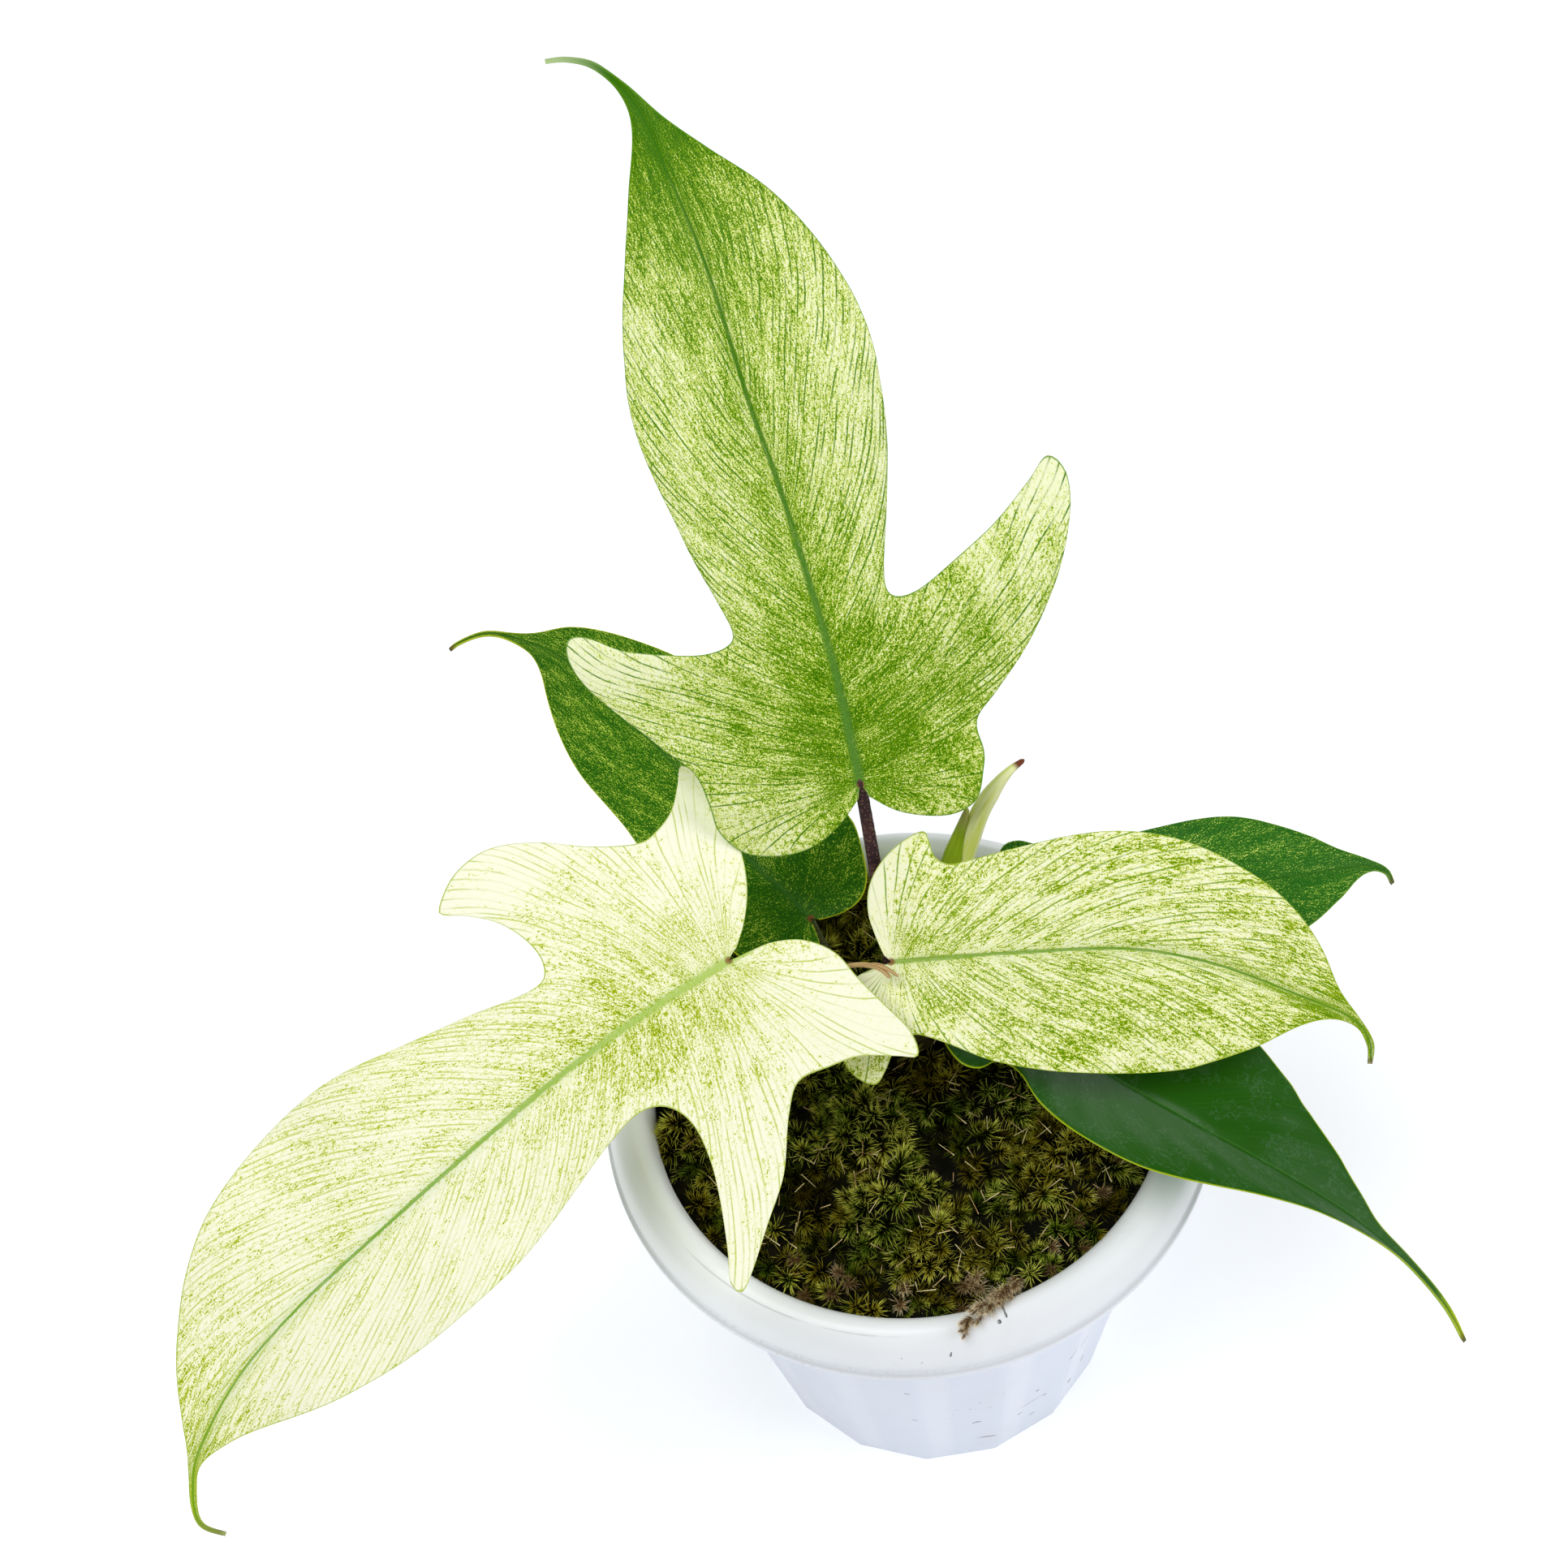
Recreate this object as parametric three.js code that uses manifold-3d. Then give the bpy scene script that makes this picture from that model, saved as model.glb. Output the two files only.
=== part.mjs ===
// Potted florida ghost philodendron, in millimetres.
// The origin is the centre of the pot's flat underside. +Z is up and -Y is the front.
// Six leaves, a rolled new leaf and its sheaths grow from one short crown. The crown
// stands in a hole in the potting mix, and a carpet of moss covers the mix.

import * as THREE from 'three';
import Module from 'manifold-3d';
import { mergeVertices } from 'three/addons/utils/BufferGeometryUtils.js';

const wasm = await Module();
wasm.setup();

// Driving dimensions

const GAP = 0.3;

const RIM_RADIUS = 67.5;
const BODY_TOP_RADIUS = 59.6;
const BASE_RADIUS = 43;
const BASE_EDGE = 1.2;
const FLOOR = 2.4;
const LIP_BOTTOM = 105.5;
const PANELS = 16;
const STEPS_PER_PANEL = 3;
const PANEL_CORNER_ANGLE = 11;
const SLOTS = 8;
const SLOT_LENGTH = 14;
const SLOT_WIDTH = 4;
const SLOT_CENTRE_RADIUS = 27;

// The rolled rim from the lip outside to the mouth inside. Each point is how far it lies in
// from the rim radius and up from the underside of the lip.
const LIP = [[0.4, 0], [0, 0.4], [0, 1.8]];
const ROLL = [[0.9, 2.3], [1.1, 4.4], [2.4, 7.8], [4.6, 10], [7, 11], [9.4, 9.8], [10.8, 7], [11.2, 4]];

const INSIDE_TOP = LIP_BOTTOM - 3;
const INSIDE_TOP_RADIUS = BODY_TOP_RADIUS - 2.2;
const INSIDE_BASE_RADIUS = BASE_RADIUS - 2.4;

const SOIL_EDGE_HEIGHT = 104;
const SOIL_DOME = 3;

const MOSS_RADIUS = 55.8;
const MOSS_EDGE_HEIGHT = 109;
const MOSS_DOME = 3;
const MOSS_RINGS = 14;
const TUFT_HEIGHT = [1.0, 3.0];
const GAP_DEPTH = 0.6;
const EDGE_RELIEF = 0.3;
const TUFT_JITTER = 0.6;
const CUSHION_CENTRE = [-13, -13];
const CUSHION_RADIUS = 15;
const CUSHION_HEIGHT = 1.8;

const CROWN_CENTRE = [2.5, 16];
const CROWN_SIDES = 16;
const CROWN_PROFILE = [[6, 90], [7.4, 100], [8.2, 110], [8, 116], [6.8, 120.5], [4, 123.5]];
const CROWN_TOP = 124.5;

const BLADE_THICKNESS = 0.9;
const KEEL_DEPTH = 1.0;
const KEEL_FADE = 0.9;
const MARGIN_STEP = 7.5;
const BOW = 0.5;
const ACROSS_LEVELS = [0, 0.38, 0.72, 1];
const WAVE_HEIGHT = 1.1;
const WAVE_PERIOD = 40;
const WAVE_REACH = 24;
const LEFT_WAVE_PHASE = 0.8;
const RIGHT_WAVE_PHASE = 2.6;

const PETIOLE_REACH = 1.5;
const PETIOLE_RINGS = 10;
const PETIOLE_SIDES = 8;
const CUT_SIZE = 60;

// The six leaves. The midrib is a curve through points from the petiole to the drip tip,
// and face is the way the upper side looks. Fold lifts both halves into a shallow V, in
// degrees, and curl bends them down again. Each row of veins is an opposite pair: where
// it leaves the midrib, then the end of the left vein and of the right vein, each as the
// distance along the midrib and the distance out from it. The ends draw the outline.

const LEAVES = [
  {
    name: 'leaf_tall',
    colour: 0xa3c45c,
    petioleColour: 0x4a3230,
    petiole: { path: [[1, 19.5, 118], [0.3, 25, 151]], radii: [1.7, 1.25] },
    midrib: [
      [-0.5, 31, 181], [-2, 43.5, 202], [-4.5, 56, 218], [-7.5, 70, 233], [-10.5, 82, 243.5],
      [-12.5, 93, 253], [-15, 106, 262.5], [-18.5, 120, 269.5], [-23, 136, 276.5],
      [-29, 143, 281.5], [-35, 147, 282], [-41.5, 149, 281],
    ],
    face: [-0.11, -0.81, 0.57],
    fold: 2,
    curl: 0.002,
    veins: [
      [0, -3, 1, -3, 1.2],
      [0, -8.5, 6.5, -7, 6],
      [0, -12.2, 13, -9.3, 12],
      [0, -13, 20, -9.8, 18],
      [0, -11, 27, -7.2, 23],
      [0, -5, 31, -1, 25.5],
      [0.5, 1.5, 31.5, 3, 26.3],
      [1.5, 9, 33, 9.5, 26],
      [3, 16.2, 39, 15, 31.2],
      [5, 25, 45, 24.6, 40.8],
      [7, 35, 49.8, 34.5, 49],
      [9, 42.3, 51.8, 43.5, 53.6],
      [10.5, 46.8, 50.6, 51, 55],
      [12, 46.5, 47, 55, 52.3],
      [13.5, 42, 40.7, 51.5, 47.3],
      [15, 38.6, 32.7, 46, 39],
      [17, 36.3, 25.3, 41, 29],
      [19.5, 36.6, 19.8, 37.3, 20],
      [22, 39.3, 17.8, 38, 15.1],
      [25, 46.5, 19, 43.5, 15.3],
      [30, 58.5, 21.6, 58.5, 20.6],
      [36, 74, 23.2, 74, 25.6],
      [44, 89, 23, 89, 26.9],
      [53, 104, 20, 104, 24],
      [64, 118, 15, 118, 17.8],
      [78, 131, 9, 131, 10.2],
      [98, 143, 3.3, 143, 3.6],
      [120, 152, 1.1, 152, 1.2],
      [142, 161, 0.7, 161, 0.7],
      [170, 170, 0.5, 170, 0.5],
    ],
  },
  {
    name: 'leaf_front',
    colour: 0xf1f3cd,
    petioleColour: 0x6b5a3c,
    petiole: { path: [[-3, 13.5, 117.5], [-16.5, 10.5, 147]], radii: [1.8, 1.3] },
    midrib: [
      [-33, 5, 164], [-50, -5.5, 167], [-68.5, -16, 166], [-88.5, -27.5, 162],
      [-109, -39, 156], [-128, -49.5, 149], [-141.5, -58.5, 142], [-151, -68.5, 135],
      [-154, -74, 130], [-154, -80, 125], [-148.5, -82.5, 122],
    ],
    face: [0.14, -0.24, 0.96],
    fold: 7,
    curl: 0.003,
    veins: [
      [0, -3.5, 0.5, -3, 1.4],
      [0, -10, 1.6, -7.4, 4.8],
      [0, -16, 5, -12, 9.8],
      [0, -19.6, 11, -15.4, 15.5],
      [0, -20, 18.5, -18.4, 23],
      [0, -21, 27, -20.2, 30.5],
      [0, -21.6, 34, -20, 36.5],
      [0, -19.6, 38.8, -17.7, 41.3],
      [0.3, -15.8, 36.3, -13.8, 37.6],
      [0.8, -9.5, 32.3, -9, 33.4],
      [1.5, -2, 30.8, -3.5, 31.2],
      [2.5, 5.5, 30, 1.5, 31.2],
      [4, 11.5, 34.6, 10, 36.2],
      [5.5, 19.5, 43.5, 18.5, 43],
      [7, 28.5, 49.8, 27, 46.9],
      [9, 37, 55.2, 35, 46.5],
      [10.5, 41.9, 57.2, 40.8, 43],
      [11.8, 42.6, 54.4, 41.2, 41],
      [13.5, 38.4, 48.8, 37.8, 37.4],
      [15, 33.6, 41, 34, 32],
      [16.5, 29.8, 33, 32, 25.5],
      [18.5, 27.9, 24.5, 32.2, 20.2],
      [21, 30, 18.6, 34.8, 17.3],
      [24, 35.5, 16.3, 41, 18.3],
      [28, 45, 17.9, 51, 22],
      [34, 58.5, 21.2, 65, 25.9],
      [42, 73.5, 24, 79.5, 29.7],
      [51, 89, 24.3, 94, 30.3],
      [61, 104, 22.6, 108.5, 27.2],
      [73, 118, 19, 121.5, 21.3],
      [87, 131, 12.8, 133, 12.8],
      [104, 141.5, 5.4, 142.5, 5.4],
      [122, 149, 1.3, 149, 1.5],
      [140, 157, 0.7, 157, 0.7],
      [167, 167, 0.45, 167, 0.45],
    ],
  },
  {
    name: 'leaf_right',
    colour: 0xe2eab2,
    petioleColour: 0x6b5a3c,
    petiole: { path: [[3, 11.5, 117], [1.6, 9.8, 136]], radii: [1.7, 1.3] },
    midrib: [
      [0, 7, 150], [11.5, 4, 153], [31, 0.5, 155], [49.5, -2, 154], [66, -6.5, 150],
      [82, -13.5, 144], [92.5, -17.5, 138], [96, -20.5, 132], [96, -22.5, 125],
    ],
    face: [-0.16, -0.44, 0.88],
    fold: 8,
    curl: 0.004,
    veins: [
      [0, -1.5, 1.5, -3, 0.9],
      [0, -3, 6, -8, 2.8],
      [0, -4.1, 11, -11.4, 8],
      [0, -3.3, 16.3, -12.2, 14.5],
      [0, -0.2, 21, -10.8, 20.6],
      [0, 5, 24.8, -7.5, 24.4],
      [0, 9.6, 26.7, -3.8, 25.7],
      [0.3, 10.7, 24.2, -1.8, 23.2],
      [1, 11.5, 21.2, 0.4, 18.8],
      [2, 14.4, 19.4, 4.3, 15.8],
      [4, 19.5, 20.1, 10.4, 17.6],
      [7, 28, 21.8, 21, 22.4],
      [11, 38, 23.4, 34, 25.3],
      [17, 48.5, 24.3, 47, 26.1],
      [24, 58.5, 23.6, 60, 24.8],
      [32, 69, 20.7, 71.5, 21],
      [42, 79, 16.4, 81.5, 14.1],
      [54, 88, 10.6, 89, 6.2],
      [68, 95, 4, 95, 2.4],
      [83, 101.5, 1, 101.5, 1],
      [99, 108, 0.8, 108, 0.8],
      [114, 114, 0.5, 114, 0.5],
    ],
  },
  {
    name: 'leaf_back',
    colour: 0x2f7135,
    petioleColour: 0x4f5a34,
    petiole: { path: [[-3.5, 19, 117.3], [-9, 25, 117.8], [-13, 30.5, 121]], radii: [1.7, 1.3] },
    midrib: [
      [-15, 33.5, 131], [-20.5, 41, 134], [-26.5, 48.5, 136], [-37.5, 71, 139],
      [-50, 91.5, 140], [-62.5, 112.5, 138], [-73, 123.5, 135], [-81, 129.5, 132],
      [-88.5, 130.5, 129], [-92.5, 130, 126],
    ],
    face: [0.05, -0.25, 0.97],
    fold: 8,
    curl: 0.005,
    veins: [
      [0, -1.6, 0.7, -1.6, 1.2],
      [0, -6, 3, -4, 6],
      [0, -8.3, 8, -4.5, 11],
      [0, -7, 13.5, -1.8, 15.6],
      [0, -1, 17, 4, 19.4],
      [0.5, 6, 18.6, 10.5, 23],
      [2, 15, 19.2, 20, 25],
      [6, 27, 19.2, 32, 25.6],
      [11, 39, 18.8, 44, 24.8],
      [18, 51, 18.6, 56, 22.6],
      [26, 63, 17.6, 68, 19.6],
      [36, 74, 14.8, 79, 16.4],
      [48, 85, 10.8, 89, 12.6],
      [62, 95, 6.4, 98, 7.8],
      [77, 104, 2.7, 105, 3.1],
      [93, 113, 1.2, 113, 1],
      [112, 122, 0.7, 122, 0.7],
      [131, 131, 0.5, 131, 0.5],
    ],
  },
  {
    name: 'leaf_far',
    colour: 0x2f7135,
    petioleColour: 0x4f5a34,
    petiole: { path: [[9.2, 15.8, 118], [21.5, 24, 121]], radii: [1.7, 1.3] },
    midrib: [
      [34, 30, 128], [46, 27.5, 128.5], [61.5, 25.5, 130.5], [74, 24.5, 130.5],
      [86, 25, 129.5], [98.5, 26, 127.5], [108, 27.5, 125], [113, 27, 122],
      [115, 25.5, 117],
    ],
    face: [0.05, -0.25, 0.97],
    fold: 8,
    curl: 0.005,
    veins: [
      [0, -1.5, 0.8, -1.5, 0.8],
      [0, -5.5, 4.5, -5, 4],
      [0, -7.5, 10, -6, 8.5],
      [0, -6.4, 13.4, -4.5, 12],
      [0, -3, 14.4, 0, 13.4],
      [0.3, 1.6, 13.2, 5, 13.6],
      [1, 8, 12.8, 12, 14.4],
      [4, 17, 13.6, 20, 16],
      [8, 27, 14.8, 30, 17.4],
      [14, 38, 15.9, 41, 17.4],
      [21, 48, 15.2, 51, 15.4],
      [30, 57, 12, 59.5, 11.8],
      [40, 65, 8, 66.5, 7.3],
      [50, 71.3, 3.9, 71.8, 3.7],
      [61, 77, 1.3, 77, 1.6],
      [74, 82, 0.7, 82, 0.8],
      [86, 86, 0.5, 86, 0.5],
    ],
  },
  {
    name: 'leaf_low',
    colour: 0x2f7038,
    petioleColour: 0x4f5a34,
    petiole: { path: [[7.5, 11, 118.5], [18.5, 7, 122]], radii: [1.7, 1.3] },
    midrib: [
      [27.6, 2.1, 128], [35.3, -8.8, 129.4], [43.3, -18.6, 130.8], [50.4, -26, 131.1],
      [58.5, -33.1, 130.2], [67.7, -39.8, 127.2], [73.5, -43.6, 124.3], [80.8, -48, 119.6],
      [87.4, -52, 114.3], [96, -58.1, 105.7], [103.2, -65.2, 96], [107, -72, 88],
    ],
    face: [0.07, 0.2, 0.98],
    fold: 18,
    curl: 0.01,
    veins: [
      [0, -1.5, 1, -1.5, 1],
      [0, -5, 3.5, -6, 5],
      [0, -6.5, 7, -9, 12],
      [0, -4.5, 10.5, -7.5, 19],
      [0, -0.5, 12, -3, 23],
      [0.3, 4, 12.6, 3, 24],
      [1, 8, 13.8, 6.4, 21.5],
      [2.5, 12, 15.4, 7.2, 17],
      [5, 18, 18, 12, 15.7],
      [9, 27, 21, 21, 19.8],
      [14, 37, 23.2, 31, 22],
      [20, 47.5, 23.8, 41, 21],
      [28, 57.5, 20.7, 52, 15.8],
      [38, 66.5, 16, 62, 11.2],
      [49, 75, 10.8, 73, 7],
      [61, 82.5, 6, 82.5, 4.6],
      [75, 90, 2.4, 90, 2.8],
      [91, 100, 1.2, 100, 1.3],
      [107, 112, 0.9, 112, 0.9],
      [123, 123, 0.5, 123, 0.5],
    ],
  },
];

// The rolled new leaf, the sheath around its back and the dried strip of an older sheath

const NEW_LEAF_CURVE = [[6.5, 20, 118], [13.4, 25, 134.5], [19.4, 29.5, 150.6],
  [23.3, 31.5, 161.6], [26.7, 33, 167.5], [30.6, 34.5, 171.9], [34.4, 36, 173.5]];
const NEW_LEAF_RADII = [2, 1.9, 1.8, 1.7, 1.5, 1.3, 0.4];
const CATAPHYLL_CURVE = [[4.6, 18.8, 118], [11.4, 24.6, 136], [16.7, 29, 150.8], [21.2, 31.7, 165.6]];
const CATAPHYLL_RADII = [2.6, 2.4, 2.2, 1.6, 0.5];
const DRIED_CURVE = [[-1.2, 10.3, 119], [-6, 9.6, 132], [-11.3, 9.3, 144.5], [-10.5, 7, 151],
  [-6.8, 4.8, 154.5], [-3.9, 3.8, 154.5], [-2.1, 2.7, 154], [-0.8, 1.1, 153.3]];
const DRIED_RADII = [1.2, 1, 0.9, 0.9, 0.9, 0.9, 0.6];
const DRIED_SPUR = [[-4.4, 4.1, 154.7], [-2.5, 3.6, 154.7], [-0.6, 2.2, 154.3], [0.9, 0.9, 153.6]];
const DRIED_SPUR_RADII = [0.5, 0.45, 0.4, 0.35];
const DRIED_FLATNESS = 0.5;

// Geometry helpers

const vector = ([x, y, z]) => new THREE.Vector3(x, y, z);

function curveThrough(points) {
  const curve = new THREE.CatmullRomCurve3(points.map(vector), false, 'catmullrom', 0.5);
  curve.arcLengthDivisions = 400;
  return curve;
}

// The value at a share of the way through a list of evenly spaced values.
function alongList(values, share) {
  const place = share * (values.length - 1);
  const low = Math.min(Math.floor(place), values.length - 2);
  return THREE.MathUtils.lerp(values[low], values[low + 1], place - low);
}

// A seeded random number source, the same at every run.
function randomSource(seed) {
  let state = seed;
  return () => {
    state = (state * 1664525 + 1013904223) % 4294967296;
    return state / 4294967296;
  };
}

function volume(places, corners) {
  const at = (i) => new THREE.Vector3().fromArray(places, 3 * i);
  let total = 0;
  for (let i = 0; i < corners.length; i += 3) {
    const [a, b, c] = [at(corners[i]), at(corners[i + 1]), at(corners[i + 2])];
    total += a.dot(b.cross(c)) / 6;
  }
  return total;
}

// A closed solid from a geometry, with its shared corners merged and its faces outward.
function solid(geometry) {
  const bare = geometry.clone();
  bare.deleteAttribute('normal');
  bare.deleteAttribute('uv');
  const merged = mergeVertices(bare, 1e-4);
  const corners = merged.index.array;
  const kept = [];
  for (let i = 0; i < corners.length; i += 3) {
    const [a, b, c] = corners.slice(i, i + 3);
    if (a !== b && b !== c && c !== a) {
      kept.push(a, b, c);
    }
  }
  const places = merged.attributes.position.array;
  if (volume(places, kept) < 0) {
    kept.reverse();
  }
  return new wasm.Manifold(new wasm.Mesh({
    numProp: 3,
    vertProperties: Float32Array.from(places),
    triVerts: Uint32Array.from(kept),
  }));
}

function geometryOf(body) {
  const mesh = body.getMesh();
  const geometry = new THREE.BufferGeometry();
  geometry.setAttribute('position', new THREE.BufferAttribute(mesh.vertProperties, 3));
  geometry.setIndex(new THREE.BufferAttribute(mesh.triVerts, 1));
  return geometry;
}

// A turned solid from radius and height pairs, from the axis at the bottom to the axis again.
function turned(profile, sides, startAngle = 0) {
  const points = profile.map(([radius, height]) => new THREE.Vector2(radius, height));
  return new THREE.LatheGeometry(points, sides, startAngle).rotateX(Math.PI / 2);
}

// A round rod bent along a curve, with its radii spaced evenly from one end to the other.
function bentRod(points, radii, rings, sides, flatness = 1) {
  const curve = curveThrough(points);
  const profile = [[0, 0]];
  for (let i = 0; i <= rings; i++) {
    profile.push([alongList(radii, i / rings), i]);
  }
  profile.push([0, rings]);
  const geometry = turned(profile, sides);
  const place = geometry.attributes.position;
  for (let i = 0; i < place.count; i++) {
    const share = THREE.MathUtils.clamp(place.getZ(i) / rings, 0, 1);
    const along = curve.getTangentAt(share);
    const side = new THREE.Vector3(0, 1, 0).cross(along).normalize();
    const up = along.clone().cross(side);
    const spot = curve.getPointAt(share);
    spot.addScaledVector(side, place.getX(i));
    spot.addScaledVector(up, place.getY(i) * flatness);
    place.setXYZ(i, spot.x, spot.y, spot.z);
  }
  return geometry;
}

// Collects the triangles of a closed shell.
class Shell {
  constructor() {
    this.places = [];
  }

  triangle(a, b, c) {
    for (const point of [a, b, c]) {
      this.places.push(point.x, point.y, point.z);
    }
  }

  square(a, b, c, d) {
    this.triangle(a, b, c);
    this.triangle(a, c, d);
  }

  geometry() {
    const geometry = new THREE.BufferGeometry();
    geometry.setAttribute('position', new THREE.Float32BufferAttribute(this.places, 3));
    return geometry;
  }
}

// The pot

const POT_SIDES = PANELS * STEPS_PER_PANEL;
const POT_START = THREE.MathUtils.degToRad(PANEL_CORNER_ANGLE);

// Pulls the round wall in between the panel corners, so that it becomes flat panels.
function panelScale(angle) {
  const panel = 2 * Math.PI / PANELS;
  const fromCorner = THREE.MathUtils.euclideanModulo(angle - POT_START + Math.PI / 2, panel);
  return Math.cos(panel / 2) / Math.cos(fromCorner - panel / 2);
}

function potSolid() {
  const outside = [
    [0, 0], [BASE_RADIUS - BASE_EDGE, 0], [BASE_RADIUS, BASE_EDGE], [BODY_TOP_RADIUS, LIP_BOTTOM],
  ];
  const rim = [...LIP, ...ROLL].map(([inward, up]) => [RIM_RADIUS - inward, LIP_BOTTOM + up]);
  const inside = [[INSIDE_TOP_RADIUS, INSIDE_TOP], [INSIDE_BASE_RADIUS, FLOOR], [0, FLOOR]];
  const profile = [...outside, ...rim, ...inside];
  const geometry = turned(profile, POT_SIDES, POT_START);
  const place = geometry.attributes.position;
  for (let i = 0; i < place.count; i++) {
    if (i % profile.length < outside.length) {
      const scale = panelScale(Math.atan2(place.getY(i), place.getX(i)));
      place.setXY(i, place.getX(i) * scale, place.getY(i) * scale);
    }
  }
  let body = solid(geometry);
  for (let i = 0; i < SLOTS; i++) {
    const slot = new THREE.BoxGeometry(SLOT_LENGTH, SLOT_WIDTH, 4 * FLOOR);
    slot.translate(SLOT_CENTRE_RADIUS, 0, 0).rotateZ((i + 0.5) * 2 * Math.PI / SLOTS);
    body = body.subtract(solid(slot));
  }
  return body;
}

// The crown, and the room that it needs where it is grown by a gap

function crownSolid(grow = 0) {
  const sides = CROWN_PROFILE.map(([radius, height]) => [radius + grow, height + grow]);
  const bottom = CROWN_PROFILE[0][1] - grow;
  const profile = [[0, bottom], [sides[0][0], bottom], ...sides.slice(1), [0, CROWN_TOP + grow]];
  return solid(turned(profile, CROWN_SIDES).translate(...CROWN_CENTRE, 0));
}

// The potting mix

function soilSolid() {
  const bottom = FLOOR + GAP;
  const profile = [
    [0, bottom],
    [INSIDE_BASE_RADIUS - GAP, bottom],
    [INSIDE_TOP_RADIUS - GAP, INSIDE_TOP],
    [INSIDE_TOP_RADIUS - 2 * GAP, SOIL_EDGE_HEIGHT],
    [0, SOIL_EDGE_HEIGHT + SOIL_DOME],
  ];
  return solid(turned(profile, POT_SIDES, POT_START)).subtract(crownSolid(GAP));
}

// The moss carpet: a lattice of rings in which each third point is the top of a tuft and
// the others are the dark gaps around it

const HEX_STEPS = [[1, 0], [0, 1], [-1, 1], [-1, 0], [0, -1], [1, -1]];

function isTuftTop(ring, sector, step) {
  const [cornerQ, cornerR] = HEX_STEPS[sector];
  const [alongQ, alongR] = HEX_STEPS[(sector + 2) % 6];
  const q = ring * cornerQ + step * alongQ;
  const r = ring * cornerR + step * alongR;
  return THREE.MathUtils.euclideanModulo(q - r, 3) === 0;
}

function mossPoint(ring, sector, step, random) {
  const edge = ring === MOSS_RINGS;
  const share = ring / MOSS_RINGS;
  const angle = ring === 0 ? 0 : (sector + step / ring) * Math.PI / 3;
  const jitter = edge ? 0 : TUFT_JITTER;
  const x = MOSS_RADIUS * share * Math.cos(angle) + jitter * (random() - 0.5);
  const y = MOSS_RADIUS * share * Math.sin(angle) + jitter * (random() - 0.5);
  const tuft = THREE.MathUtils.lerp(TUFT_HEIGHT[0], TUFT_HEIGHT[1], random());
  const dip = -GAP_DEPTH * random();
  const relief = (isTuftTop(ring, sector, step) ? tuft : dip) * (edge ? EDGE_RELIEF : 1);
  const fromCushion = Math.hypot(x - CUSHION_CENTRE[0], y - CUSHION_CENTRE[1]);
  const cushion = CUSHION_HEIGHT * Math.max(0, 1 - (fromCushion / CUSHION_RADIUS) ** 2);
  const dome = MOSS_DOME * (1 - share ** 2);
  return new THREE.Vector3(x, y, MOSS_EDGE_HEIGHT + dome + cushion + relief);
}

function mossSolid() {
  const random = randomSource(7);
  const rings = [[mossPoint(0, 0, 0, random)]];
  for (let ring = 1; ring <= MOSS_RINGS; ring++) {
    const row = [];
    for (let index = 0; index < 6 * ring; index++) {
      row.push(mossPoint(ring, Math.floor(index / ring), index % ring, random));
    }
    rings.push(row);
  }
  const at = (ring, index) => rings[ring][index % rings[ring].length];
  const shell = new Shell();
  for (let ring = 1; ring <= MOSS_RINGS; ring++) {
    for (let sector = 0; sector < 6; sector++) {
      for (let step = 0; step < ring; step++) {
        const outer = sector * ring + step;
        const inner = sector * (ring - 1) + step;
        shell.triangle(at(ring, outer), at(ring, outer + 1), at(ring - 1, inner));
        if (step < ring - 1) {
          shell.triangle(at(ring - 1, inner), at(ring, outer + 1), at(ring - 1, inner + 1));
        }
      }
    }
  }
  const under = (point) => new THREE.Vector3(point.x, point.y, SOIL_EDGE_HEIGHT + 2 * GAP);
  const middle = new THREE.Vector3(0, 0, SOIL_EDGE_HEIGHT + SOIL_DOME + GAP);
  const edge = rings[MOSS_RINGS];
  edge.forEach((point, index) => {
    const next = edge[(index + 1) % edge.length];
    shell.square(point, under(point), under(next), next);
    shell.triangle(under(next), under(point), middle);
  });
  return solid(shell.geometry()).subtract(crownSolid(GAP));
}

// The leaves

// The place on a leaf that is some way along its midrib, some way out to the left of it,
// or to the right where out is negative, and lifted off its upper side.
function leafSurface(leaf) {
  const curve = curveThrough(leaf.midrib);
  const length = curve.getLength();
  const face = vector(leaf.face).normalize();
  const fold = THREE.MathUtils.degToRad(leaf.fold);
  return (along, out, lift) => {
    const share = THREE.MathUtils.clamp(along / length, 0, 1);
    const forward = curve.getTangentAt(share);
    const left = face.clone().cross(forward).normalize();
    const above = forward.clone().cross(left);
    const reach = Math.abs(out);
    const edge = Math.min(1, (reach / WAVE_REACH) ** 2);
    const phase = out > 0 ? LEFT_WAVE_PHASE : RIGHT_WAVE_PHASE;
    const wave = edge * Math.sin(2 * Math.PI * along / WAVE_PERIOD + phase);
    const bend = reach * Math.sin(fold) - leaf.curl * reach * reach / 2;
    const spot = curve.getPointAt(share);
    spot.addScaledVector(forward, along - share * length);
    spot.addScaledVector(left, out * Math.cos(fold));
    return spot.addScaledVector(above, bend + WAVE_HEIGHT * wave + lift);
  };
}

// One smooth step between the middle two of four values.
function smoothStep([before, from, to, after], t) {
  const leave = (to - before) / 2;
  const arrive = (after - from) / 2;
  const bend = 3 * (to - from) - 2 * leave - arrive;
  const twist = 2 * (from - to) + leave + arrive;
  return from + leave * t + bend * t * t + twist * t * t * t;
}

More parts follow.
